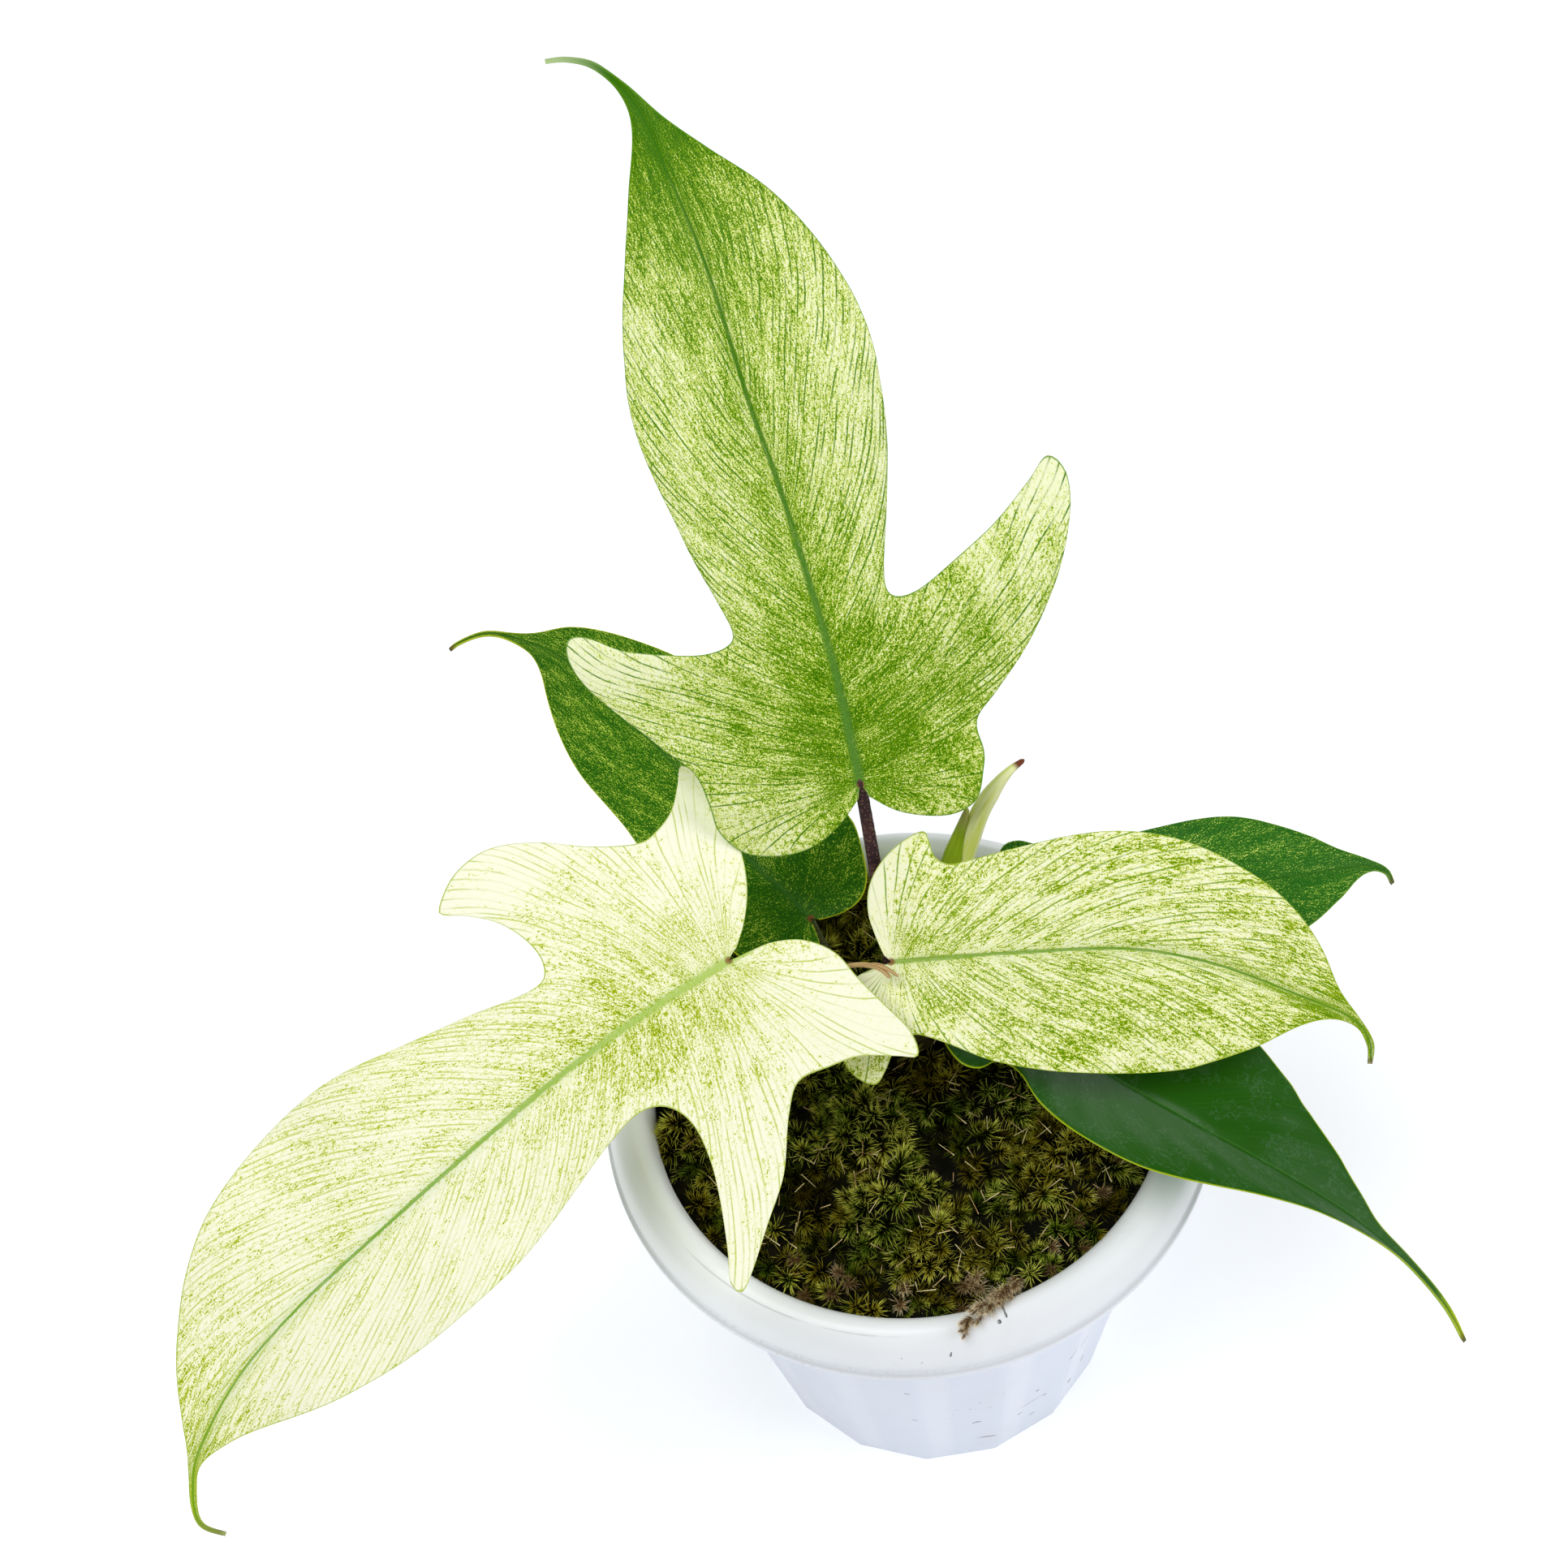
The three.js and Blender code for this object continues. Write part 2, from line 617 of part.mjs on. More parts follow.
// The rows of veins, with smooth rows added between them wherever the margin is long.
function allVeins(rows) {
  const last = rows.length - 1;
  const veins = [];
  for (let i = 0; i < last; i++) {
    const near = [rows[Math.max(i - 1, 0)], rows[i], rows[i + 1], rows[Math.min(i + 2, last)]];
    const leftGap = Math.hypot(near[2][1] - near[1][1], near[2][2] - near[1][2]);
    const rightGap = Math.hypot(near[2][3] - near[1][3], near[2][4] - near[1][4]);
    const rootGap = near[2][0] - near[1][0];
    const count = Math.ceil(Math.max(leftGap, rightGap, rootGap) / MARGIN_STEP);
    for (let step = 0; step < count; step++) {
      const t = step / count;
      const ends = [1, 2, 3, 4].map((column) => smoothStep(near.map((row) => row[column]), t));
      veins.push([THREE.MathUtils.lerp(near[1][0], near[2][0], t), ...ends]);
    }
  }
  veins.push(rows[last]);
  return veins;
}

// One half of a blade as rows of upper and lower points, from the midrib to the margin. A
// vein leaves the midrib at a slant and bends forward until it runs beside the margin.
function halfBlade(leaf, hand) {
  const surface = leafSurface(leaf);
  const veins = allVeins(leaf.veins);
  const length = veins.at(-1)[0];
  return veins.map((vein) => {
    const from = vein[0];
    const [along, out] = hand > 0 ? vein.slice(1, 3) : vein.slice(3, 5);
    return ACROSS_LEVELS.map((share) => {
      const x = THREE.MathUtils.lerp(from, along, share);
      const y = hand * out * share * (1 + BOW - BOW * share);
      const keel = share === 0 ? KEEL_DEPTH * (1 - KEEL_FADE * from / length) : 0;
      return [surface(x, y, 0), surface(x, y, -BLADE_THICKNESS - keel)];
    });
  });
}

function bladeGeometry(leaf) {
  const shell = new Shell();
  for (const hand of [1, -1]) {
    const rows = halfBlade(leaf, hand);
    const square = (a, b, c, d) => {
      shell.square(...(hand > 0 ? [a, b, c, d] : [a, d, c, b]));
    };
    const end = rows.length - 1;
    const rim = ACROSS_LEVELS.length - 1;
    for (let row = 0; row < end; row++) {
      const [here, next] = [rows[row], rows[row + 1]];
      for (let i = 0; i < rim; i++) {
        square(here[i][0], next[i][0], next[i + 1][0], here[i + 1][0]);
        square(here[i][1], here[i + 1][1], next[i + 1][1], next[i][1]);
      }
      square(here[rim][0], next[rim][0], next[rim][1], here[rim][1]);
    }
    for (let i = 0; i < rim; i++) {
      square(rows[0][i][0], rows[0][i + 1][0], rows[0][i + 1][1], rows[0][i][1]);
      square(rows[end][i][0], rows[end][i][1], rows[end][i + 1][1], rows[end][i + 1][0]);
    }
  }
  return shell.geometry();
}

// The petiole runs up to the blade from below, where a block cuts it off along a plane that
// lies a gap under the keel of the midrib.
function petioleSolid(leaf) {
  const surface = leafSurface(leaf);
  const { path, radii } = leaf.petiole;
  const tip = surface(PETIOLE_REACH, 0, 0).toArray();
  const rod = solid(bentRod([...path, tip], radii, PETIOLE_RINGS, PETIOLE_SIDES));
  const origin = surface(0, 0, 0);
  const above = surface(0, 0, 1).sub(origin);
  const forward = surface(0, 0, 0).sub(surface(-1, 0, 0));
  const left = above.clone().cross(forward);
  const block = new THREE.BoxGeometry(CUT_SIZE, CUT_SIZE, CUT_SIZE);
  block.translate(0, 0, CUT_SIZE / 2 - BLADE_THICKNESS - KEEL_DEPTH - GAP);
  block.applyMatrix4(new THREE.Matrix4().makeBasis(forward, left, above).setPosition(origin));
  return rod.subtract(crownSolid(GAP)).subtract(solid(block));
}

// The new leaf and the sheaths

function newLeafSolid(grow = 0) {
  const radii = NEW_LEAF_RADII.map((radius) => radius + grow);
  return solid(bentRod(NEW_LEAF_CURVE, radii, 14, 8));
}

// A sheath hugs the new leaf from behind, so the room of the leaf is taken out of a rod.
function cataphyllSolid() {
  const rod = solid(bentRod(CATAPHYLL_CURVE, CATAPHYLL_RADII, 12, 10));
  return rod.subtract(newLeafSolid(GAP)).subtract(crownSolid(GAP));
}

function driedSheathSolid() {
  const strip = solid(bentRod(DRIED_CURVE, DRIED_RADII, 20, 8, DRIED_FLATNESS));
  const spur = solid(bentRod(DRIED_SPUR, DRIED_SPUR_RADII, 5, 6));
  return strip.add(spur).subtract(crownSolid(GAP));
}

// The whole plant

const plant = new THREE.Group();

function add(name, body, color, roughness, metalness = 0) {
  const material = new THREE.MeshStandardMaterial({ color, roughness, metalness });
  const mesh = new THREE.Mesh(geometryOf(body), material);
  mesh.name = name;
  plant.add(mesh);
}

add('pot', potSolid(), 0xf1f2f6, 0.4);
add('soil', soilSolid(), 0x3a2c20, 0.95);
add('moss', mossSolid(), 0x59651f, 0.9);
add('crown', crownSolid(), 0x5d5a35, 0.7);
for (const leaf of LEAVES) {
  add(`${leaf.name}_petiole`, petioleSolid(leaf), leaf.petioleColour, 0.6);
  add(`${leaf.name}_blade`, solid(bladeGeometry(leaf)), leaf.colour, 0.45);
}
add('new_leaf', newLeafSolid().subtract(crownSolid(GAP)), 0xd8e19f, 0.5);
add('cataphyll', cataphyllSolid(), 0x7f9440, 0.55);
add('dried_sheath', driedSheathSolid(), 0xc2a068, 0.85);

export default plant;
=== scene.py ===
# %% [markdown]
# # A potted florida ghost philodendron
# The plant has six lobed leaves, a rolled new leaf and two old sheaths, which all grow from
# one short crown in a white plastic pot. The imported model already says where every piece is
# and how big it is. This lesson gives each piece its fine form and its finish, and it works
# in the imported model's own frame, so nothing has to be fitted afterwards.

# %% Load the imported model
import math
import random
from bisect import bisect_right
from itertools import accumulate

import bmesh
import bpy
import numpy as np
from mathutils import Matrix, Vector, noise


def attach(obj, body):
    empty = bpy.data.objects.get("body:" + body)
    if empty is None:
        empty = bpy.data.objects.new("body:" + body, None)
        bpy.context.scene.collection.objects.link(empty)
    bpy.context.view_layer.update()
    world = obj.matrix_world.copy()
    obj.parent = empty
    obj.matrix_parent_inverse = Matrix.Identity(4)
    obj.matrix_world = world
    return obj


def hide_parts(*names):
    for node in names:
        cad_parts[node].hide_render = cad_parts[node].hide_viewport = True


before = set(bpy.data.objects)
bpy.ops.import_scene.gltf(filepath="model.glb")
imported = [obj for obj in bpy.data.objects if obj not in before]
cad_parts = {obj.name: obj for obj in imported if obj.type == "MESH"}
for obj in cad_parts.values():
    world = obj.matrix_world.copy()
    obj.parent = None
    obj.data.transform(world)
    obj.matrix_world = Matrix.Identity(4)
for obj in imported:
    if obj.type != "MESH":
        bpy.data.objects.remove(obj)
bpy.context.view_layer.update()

# %% [markdown]
# ## The camera
# The camera comes first, because every later step is judged through it. It looks down at a
# steep angle from in front of the pot and leans a little to one side, so that the tall leaf
# fits into a square picture. The lens is a mild telephoto one.

# %% Camera
SENSOR = 36
LENS = 61.49
CAMERA_PLACE = Vector((-0.016, -0.292, 0.627))
PITCH = math.radians(53.8)
ROLL = math.radians(-9.4)


def show(name, data):
    """Makes an object of a camera, a lamp or a mesh and puts it in the scene."""
    thing = bpy.data.objects.new(name, data)
    bpy.context.scene.collection.objects.link(thing)
    return thing


camera_data = bpy.data.cameras.new("camera")
camera_data.sensor_width = SENSOR
camera_data.lens = LENS
camera = show("camera", camera_data)
bpy.context.scene.camera = camera
ahead = Vector((0, math.cos(PITCH), -math.sin(PITCH)))
level_right = Vector((1, 0, 0))
level_up = level_right.cross(ahead)
camera_right = level_right * math.cos(ROLL) + level_up * math.sin(ROLL)
camera_up = camera_right.cross(ahead)
camera.matrix_world = Matrix.LocRotScale(
    CAMERA_PLACE, Matrix((camera_right, camera_up, -ahead)).transposed().to_quaternion(), None)
print("camera looks along", [round(value, 3) for value in ahead])

# %% [markdown]
# ## Soft studio light
# A plant is photographed on a white table under large soft lamps, so that its own colours
# show and no shadow is hard. One big lamp hangs over the plant at the upper left, a second
# one fills in from the right, and a low one at the back lights the far side. A pale sky
# gives the rest. Each lamp has its place and width in metres and its power in watts. The
# Standard view transform keeps pale leaves as pale as they are.

# %% Lamps and sky
LAMPS = {
    "key_lamp": ((-0.4, -0.2, 1.35), 0.9, 10.5),
    "fill_lamp": ((0.9, -0.3, 0.65), 0.9, 4),
    "back_lamp": ((0.75, 1.35, 0.3), 1.1, 5.5),
}
AIM = Vector((0, 0, 0.12))
SKY_COLOUR = (0.96, 0.98, 1, 1)
SKY_STRENGTH = 0.27

for name, (place, width, watts) in LAMPS.items():
    lamp_data = bpy.data.lights.new(name, "AREA")
    lamp_data.shape = "DISK"
    lamp_data.size = width
    lamp_data.energy = watts
    lamp = show(name, lamp_data)
    lamp.location = place
    lamp.rotation_euler = (AIM - Vector(place)).to_track_quat("-Z", "Y").to_euler()

sky = bpy.data.worlds.new("pale_sky")
sky.use_nodes = True
background = sky.node_tree.nodes["Background"]
background.inputs["Color"].default_value = SKY_COLOUR
background.inputs["Strength"].default_value = SKY_STRENGTH
bpy.context.scene.world = sky
bpy.context.scene.view_settings.view_transform = "Standard"
print("lamps", len(bpy.data.lights))

# %% [markdown]
# ## Writing a finish as sums
# A procedural finish is a small calculation at each point of a surface. Written as single
# nodes it is long and hard to read, so one class wraps a socket and lets Python's own
# operators add the Math nodes. A second class holds one finish and adds any other node.

# %% Sockets with operators
class Wire:
    """A socket of a finish that can be added to, multiplied and compared like a number."""

    def __init__(self, finish, socket):
        self.finish = finish
        self.socket = socket

    def maths(self, operation, *values):
        return self.finish.node("ShaderNodeMath", {"operation": operation},
                                dict(enumerate(values)))

    def __add__(self, other):
        return self.maths("ADD", self, other)

    def __sub__(self, other):
        return self.maths("SUBTRACT", self, other)

    def __mul__(self, other):
        return self.maths("MULTIPLY", self, other)

    def __truediv__(self, other):
        return self.maths("DIVIDE", self, other)

    def __pow__(self, other):
        return self.maths("POWER", self, other)

    def __rsub__(self, other):
        return self.maths("SUBTRACT", other, self)

    __radd__ = __add__
    __rmul__ = __mul__

    def heading_to(self, other):
        """The angle of the point whose first place is this and whose second is the other."""
        return self.maths("ARCTAN2", other, self)

    def larger(self, other):
        return self.maths("MAXIMUM", self, other)

    def size(self):
        return self.maths("ABSOLUTE", self)

    def sine(self):
        return self.maths("SINE", self)

    def step(self, low, high):
        """Rises smoothly from 0 at low to 1 at high, or falls where low is the larger."""
        ends = (high, low, 1, 0) if low > high else (low, high, 0, 1)
        return self.finish.node("ShaderNodeMapRange", {"interpolation_type": "SMOOTHSTEP"},
                                dict(enumerate((self, *ends))))


# %% [markdown]
# A colour in a photograph is a display colour, and a shader counts in linear light, so each
# colour is written as it looks and is changed over once.

# %% Finishes
def colour(red, green, blue):
    """A display colour from 0 to 255 as the linear colour that a shader takes."""
    linear = []
    for part in (red / 255, green / 255, blue / 255):
        linear.append(part / 12.92 if part <= 0.04045 else ((part + 0.055) / 1.055) ** 2.4)
    return (*linear, 1)


class Finish:
    """One material: its constants are set straight away and its patterns are added after."""

    def __init__(self, name, constants):
        self.material = bpy.data.materials.new(name)
        self.material.use_nodes = True
        tree = self.material.node_tree
        tree.nodes.clear()
        self.nodes = tree.nodes
        self.links = tree.links
        self.shader = self.nodes.new("ShaderNodeBsdfPrincipled")
        output = self.nodes.new("ShaderNodeOutputMaterial")
        self.links.new(self.shader.outputs[0], output.inputs[0])
        for socket, value in constants.items():
            self.shader.inputs[socket].default_value = value

    def put(self, value, socket):
        if isinstance(value, Wire):
            self.links.new(value.socket, socket)
        else:
            socket.default_value = value

    def node(self, kind, settings=None, inputs=None, output=0):
        """Adds a node: first its settings, then a value or a wire for each socket."""
        node = self.nodes.new(kind)
        for key, value in (settings or {}).items():
            setattr(node, key, value)
        for key, value in (inputs or {}).items():
            self.put(value, node.inputs[key])
        return Wire(self, node.outputs[output])

    def place(self):
        """The point of the surface in metres, in the frame of the whole plant."""
        return self.node("ShaderNodeTexCoord", output="Object")

    def map(self, name):
        """The two numbers of one of the piece's own maps."""
        pair = self.node("ShaderNodeUVMap", {"uv_map": name})
        return self.parts(pair)[:2]

    def parts(self, vector):
        split = self.node("ShaderNodeSeparateXYZ", None, {0: vector})
        return [Wire(self, socket) for socket in split.socket.node.outputs]

    def number(self, name):
        """One of the numbers that the piece's own mesh carries."""
        return self.node("ShaderNodeAttribute", {"attribute_name": name}, output="Fac")

    def point(self, x, y, z=0):
        return self.node("ShaderNodeCombineXYZ", None, {0: x, 1: y, 2: z})

    def grain(self, at, scale=1, detail=2, roughness=0.5):
        """Cloudy noise about 0.5, with spots about 1 / scale apart."""
        return self.node("ShaderNodeTexNoise", None, {
            "Vector": at, "Scale": scale, "Detail": detail, "Roughness": roughness})

    def streaks(self, x, y, z=0, detail=1, roughness=0.5):
        """Cloudy noise on a map, stretched as the map's two sides are scaled."""
        return self.grain(self.point(x, y, z), 1, detail, roughness)

    def cells(self, at, scale, output="Distance"):
        """How far a point is from the nearest of many scattered points, or that one's colour."""
        return self.node("ShaderNodeTexVoronoi", None, {"Vector": at, "Scale": scale}, output)

    def mix(self, share, first, second):
        """One colour, then the other where share is 1."""
        return self.node("ShaderNodeMix", {"data_type": "RGBA"},
                         {0: share, 6: first, 7: second}, 2)

    def paint(self, base, rough=None, relief=None, height=0.0001):
        """Connects the patterns: a colour, a roughness and a relief that is height metres."""
        self.put(base, self.shader.inputs["Base Color"])
        if rough is not None:
            self.put(rough, self.shader.inputs["Roughness"])
        if relief is not None:
            bump = self.node("ShaderNodeBump", None,
                             {"Strength": 1, "Distance": height, "Height": relief})
            self.put(bump, self.shader.inputs["Normal"])
        return self.material


# %% [markdown]
# The floor is a plain pale table, which runs far enough to fill every view from above. It has
# a very faint mottle, and it glows a little, so that it looks as white as a lit studio table.

# %% Floor
FLOOR_SIZE = 40
FLOOR_GLOW = 0.36
MOTTLE_SCALE = 9

floor_finish = Finish("pale_table", {
    "Roughness": 0.7, "Emission Color": (0.97, 0.985, 1, 1), "Emission Strength": FLOOR_GLOW})
mottle = floor_finish.grain(floor_finish.place(), MOTTLE_SCALE)
floor_colour = floor_finish.mix(mottle, colour(246, 248, 251), colour(252, 253, 255))
floor_finish.paint(floor_colour)


def mesh_of(name, shape):
    """Writes a bmesh into a new mesh and lets go of it."""
    mesh = bpy.data.meshes.new(name)
    shape.to_mesh(mesh)
    shape.free()
    return mesh


floor_shape = bmesh.new()
bmesh.ops.create_grid(floor_shape, x_segments=2, y_segments=2, size=FLOOR_SIZE / 2)
floor = show("floor", mesh_of("floor", floor_shape))
floor.data.materials.append(floor_finish.material)
print("floor of", FLOOR_SIZE, "m")

# %% [markdown]
# ## Lines and sheets
# Nearly everything on a plant is a sheet or a rod that follows a curved line. So the first
# tool is a smooth line through a few points, measured along its length. The points are in
# millimetres, as on a drawing, and only the finished mesh is in metres.

# %% A smooth line with an even measure
MM = 0.001


def smooth_step(four, t):
    """The value a share of the way between the middle two of four numbers or points."""
    before, start, end, after = four
    leave = (end - before) / 2
    arrive = (after - start) / 2
    bend = 3 * (end - start) - 2 * leave - arrive
    twist = 2 * (start - end) + leave + arrive
    return start + leave * t + bend * t ** 2 + twist * t ** 3


class Line:
    """A smooth line through points, read by the share of its length that lies behind."""

    SAMPLES = 400
    NUDGE = 0.0001

    def __init__(self, points):
        points = [Vector(point) for point in points]
        self.spans = len(points) - 1
        self.points = [2 * points[0] - points[1], *points, 2 * points[-1] - points[-2]]
        places = [self.place(i / self.SAMPLES) for i in range(self.SAMPLES + 1)]
        steps = [(end - start).length for start, end in zip(places, places[1:])]
        self.behind = [0, *accumulate(steps)]
        self.length = self.behind[-1]

    def place(self, time):
        span = min(int(time * self.spans), self.spans - 1)
        return smooth_step(self.points[span:span + 4], time * self.spans - span)

    def time(self, share):
        goal = share * self.length
        i = min(bisect_right(self.behind, goal), self.SAMPLES) - 1
        part = (goal - self.behind[i]) / (self.behind[i + 1] - self.behind[i])
        return (i + part) / self.SAMPLES

    def at(self, share):
        return self.place(self.time(share))

    def heading(self, share):
        time = self.time(share)
        low = max(time - self.NUDGE, 0)
        high = min(time + self.NUDGE, 1)
        return (self.place(high) - self.place(low)).normalized()


# %% [markdown]
# The second tool makes every sheet and rod. It starts from Blender's flat grid and moves
# each point to where a formula puts it. The same two shares that place a point also give
# the piece its maps, which the finishes read later. Points that meet, such as those at a
# seam or a pole, are merged, so that the piece is closed.

# %% A grid that is shaped by a formula
def grid_piece(name, columns, rows, place, maps=None, numbers=None):
    """A mesh object whose point in column i and row j lies at place(i, j), in millimetres."""
    shape = bmesh.new()
    map_layers = {key: shape.loops.layers.uv.new(key) for key in maps or {}}
    number_layers = {key: shape.verts.layers.float.new(key) for key in numbers or {}}
    bmesh.ops.create_grid(shape, x_segments=columns, y_segments=rows, size=1)
    cell = {vert: (round((vert.co.x + 1) / 2 * columns), round((vert.co.y + 1) / 2 * rows))
            for vert in shape.verts}
    for key, layer in map_layers.items():
        for face in shape.faces:
            for loop in face.loops:
                loop[layer].uv = maps[key](*cell[loop.vert])
    for key, layer in number_layers.items():
        for vert in shape.verts:
            vert[layer] = numbers[key](*cell[vert])
    for vert in shape.verts:
        vert.co = Vector(place(*cell[vert])) * MM
    return finished(name, shape)


MERGE = 0.01
SHARP_ANGLE = math.radians(60)


def finished(name, shape):
    """Closes a shape, turns its faces outward and makes it a smooth object."""
    bmesh.ops.remove_doubles(shape, verts=shape.verts, dist=MERGE * MM)
    bmesh.ops.dissolve_degenerate(shape, edges=shape.edges, dist=MERGE * MM / 10)
    bmesh.ops.recalc_face_normals(shape, faces=shape.faces)
    mesh = mesh_of(name, shape)
    mesh.shade_smooth()
    mesh.set_sharp_from_angle(angle=SHARP_ANGLE)
    return show(name, mesh)


def dress(piece, finish, slot, *nodes):
    """Gives a piece its finish, lets it ride on the plant and hides the imported nodes it replaces.
    """
    piece.data.materials.append(finish)
    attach(piece, "root")
    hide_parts(*nodes)
    triangles = sum(len(face.vertices) - 2 for face in piece.data.polygons)
    print(piece.name, "has", triangles, "triangles")


# %% [markdown]
# ## The pot
# The pot is thin white plastic, blown or pressed in a mould. Its body has sixteen flat
# panels that taper to the foot, and its rim is rolled over to a fat soft lip. One turned
# profile gives the wall, the floor and the roll. Only the outside of the wall is then drawn
# in between the panel corners.

# %% Pot sizes
POT_HEIGHT = 116.5
RIM_RADIUS = 67.5
MOUTH_RADIUS = 56.3
BODY_TOP_RADIUS = 59.6
BASE_RADIUS = 43
BASE_EDGE = 1.2
LIP_BOTTOM = 105.5
WALL = 1.8
FLOOR = 2.4
PANELS = 16
PANEL_CORNER = math.radians(11)
POT_STEPS = 192
WALL_STEPS = 40
ROLL_STEPS = 30

# %% Pot profile
roll_line = Line([
    (RIM_RADIUS - 0.9, LIP_BOTTOM + 2.3, 0), (RIM_RADIUS - 1.1, LIP_BOTTOM + 4.4, 0),
    (RIM_RADIUS - 2.4, LIP_BOTTOM + 7.8, 0), (RIM_RADIUS - 4.6, POT_HEIGHT - 1, 0),
    (RIM_RADIUS - 7, POT_HEIGHT, 0), (RIM_RADIUS - 9.4, POT_HEIGHT - 1.2, 0),
    (MOUTH_RADIUS + 0.4, POT_HEIGHT - 4, 0), (MOUTH_RADIUS, POT_HEIGHT - 7, 0),
])
foot = [(0, 0), (BASE_RADIUS - BASE_EDGE, 0), (BASE_RADIUS - 0.4, 0.4), (BASE_RADIUS, BASE_EDGE)]
wall = []
for i in range(1, WALL_STEPS + 1):
    share = i / WALL_STEPS
    radius = BASE_RADIUS + (BODY_TOP_RADIUS - BASE_RADIUS) * share
    wall.append((radius, BASE_EDGE + (LIP_BOTTOM - BASE_EDGE) * share))
lip = [(RIM_RADIUS - 0.5, LIP_BOTTOM), (RIM_RADIUS - 0.1, LIP_BOTTOM + 0.2),
       (RIM_RADIUS, LIP_BOTTOM + 0.6), (RIM_RADIUS, LIP_BOTTOM + 1.4),
       (RIM_RADIUS - 0.2, LIP_BOTTOM + 1.8)]
roll = [tuple(roll_line.at(i / ROLL_STEPS).xy) for i in range(ROLL_STEPS + 1)]
inside = [(BODY_TOP_RADIUS - WALL - 0.4, LIP_BOTTOM - 3), (BASE_RADIUS - WALL - 0.6, FLOOR),
          (0, FLOOR)]
pot_profile = [*foot, *wall, *lip, *roll, *inside]
print("pot profile has", len(pot_profile), "points")

# %% Turned pot with flat panels
def panel_scale(angle):
    """How far a flat panel lies inside the circle through its two corners."""
    panel = 2 * math.pi / PANELS
    from_corner = (angle - PANEL_CORNER + math.pi / 2) % panel - panel / 2
    return math.cos(panel / 2) / math.cos(from_corner)


def turn(profile, steps):
    """Spins a profile of radius and height, in millimetres, round the upright axis."""
    shape = bmesh.new()
    verts = [shape.verts.new((radius * MM, 0, height * MM)) for radius, height in profile]
    edges = [shape.edges.new(pair) for pair in zip(verts, verts[1:])]
    bmesh.ops.spin(shape, geom=verts + edges, axis=(0, 0, 1), cent=(0, 0, 0),
                   angle=2 * math.pi, steps=steps, use_merge=True)
    return shape


pot_shape = turn(pot_profile, POT_STEPS)
for vert in pot_shape.verts:
    radius = math.hypot(vert.co.x, vert.co.y) / MM
    height = vert.co.z / MM
    outside = BASE_RADIUS - BASE_EDGE - 1 + (BODY_TOP_RADIUS - BASE_RADIUS) * height / LIP_BOTTOM
    if height < LIP_BOTTOM + 0.01 and outside < radius < RIM_RADIUS - 2:
        scale = panel_scale(math.atan2(vert.co.y, vert.co.x))
        vert.co.x *= scale
        vert.co.y *= scale
pot = finished("white_pot", pot_shape)

# %% [markdown]
# Water leaves through slots in the floor of the pot. A Boolean modifier cuts all of them at
# once. It is applied straight away and the cutting blocks are removed.

# %% Drainage slots
SLOTS = 8
SLOT_LENGTH = 14
SLOT_WIDTH = 4
SLOT_CENTRE_RADIUS = 27

cutter_shape = bmesh.new()
for i in range(SLOTS):
    turned_way = Matrix.Rotation((i + 0.5) * 2 * math.pi / SLOTS, 4, "Z")
    moved = Matrix.Translation((SLOT_CENTRE_RADIUS * MM, 0, 0))
    sized = Matrix.Diagonal((SLOT_LENGTH * MM, SLOT_WIDTH * MM, 4 * FLOOR * MM, 1))
    bmesh.ops.create_cube(cutter_shape, size=1, matrix=turned_way @ moved @ sized)
cutter_mesh = mesh_of("slot_blocks", cutter_shape)
cutter = show("slot_blocks", cutter_mesh)
cut = pot.modifiers.new("slots", "BOOLEAN")
cut.operation = "DIFFERENCE"
cut.object = cutter
cut.solver = "EXACT"
cut_pot = pot.evaluated_get(bpy.context.evaluated_depsgraph_get())
cut_mesh = bpy.data.meshes.new_from_object(cut_pot)
pot.modifiers.clear()
pot.data = cut_mesh
bpy.data.objects.remove(cutter)
bpy.data.meshes.remove(cutter_mesh)
print("pot has", len(cut_mesh.polygons), "faces and", SLOTS, "slots")

# %% [markdown]
# The plastic is a slightly blue white with a soft sheen. It has been in use: specks of
# potting mix stick under the lip, a few scratches show on the body, and fine dust dulls it.
# The marks are written down one by one: the angle round the pot in degrees and the height,
# half the length and half the width in millimetres, the slant in degrees, and the bend.

# %% Marks on the pot
MARKS = [
    (-55.6, 46.8, 1.6, 0.3, 45, 0), (-50.1, 44.8, 1.6, 0.25, 45, 0), (-46.5, 25.4, 2, 0.25, 85, 0),
    (-81.6, 14.4, 2, 0.32, -8, 0.25), (-85, 30, 1, 0.35, 12, 0.3), (-66, 34.2, 0.45, 0.4, 0, 0),
    (-62.8, 26.2, 0.5, 0.35, 20, 0), (-67.5, 27, 2.6, 0.14, 8, 0), (-71, 21.8, 0.6, 0.3, 15, 0),
    (-66, 14.6, 0.8, 0.25, 0, 0), (-51.2, 17.4, 0.5, 1.2, 0, 0), (-102.2, 64.2, 0.6, 0.25, 0, 0),
    (-102, 40.2, 0.6, 0.2, 10, 0), (-91.2, 112.6, 0.5, 0.2, 70, 0), (-81.2, 115.9, 0.4, 0.2, 0, 0),
    (-79.6, 116.3, 0.25, 0.22, 0, 0), (-38, 60, 1.4, 0.3, 60, 0), (-30, 48, 1.2, 0.3, 75, 0),
]

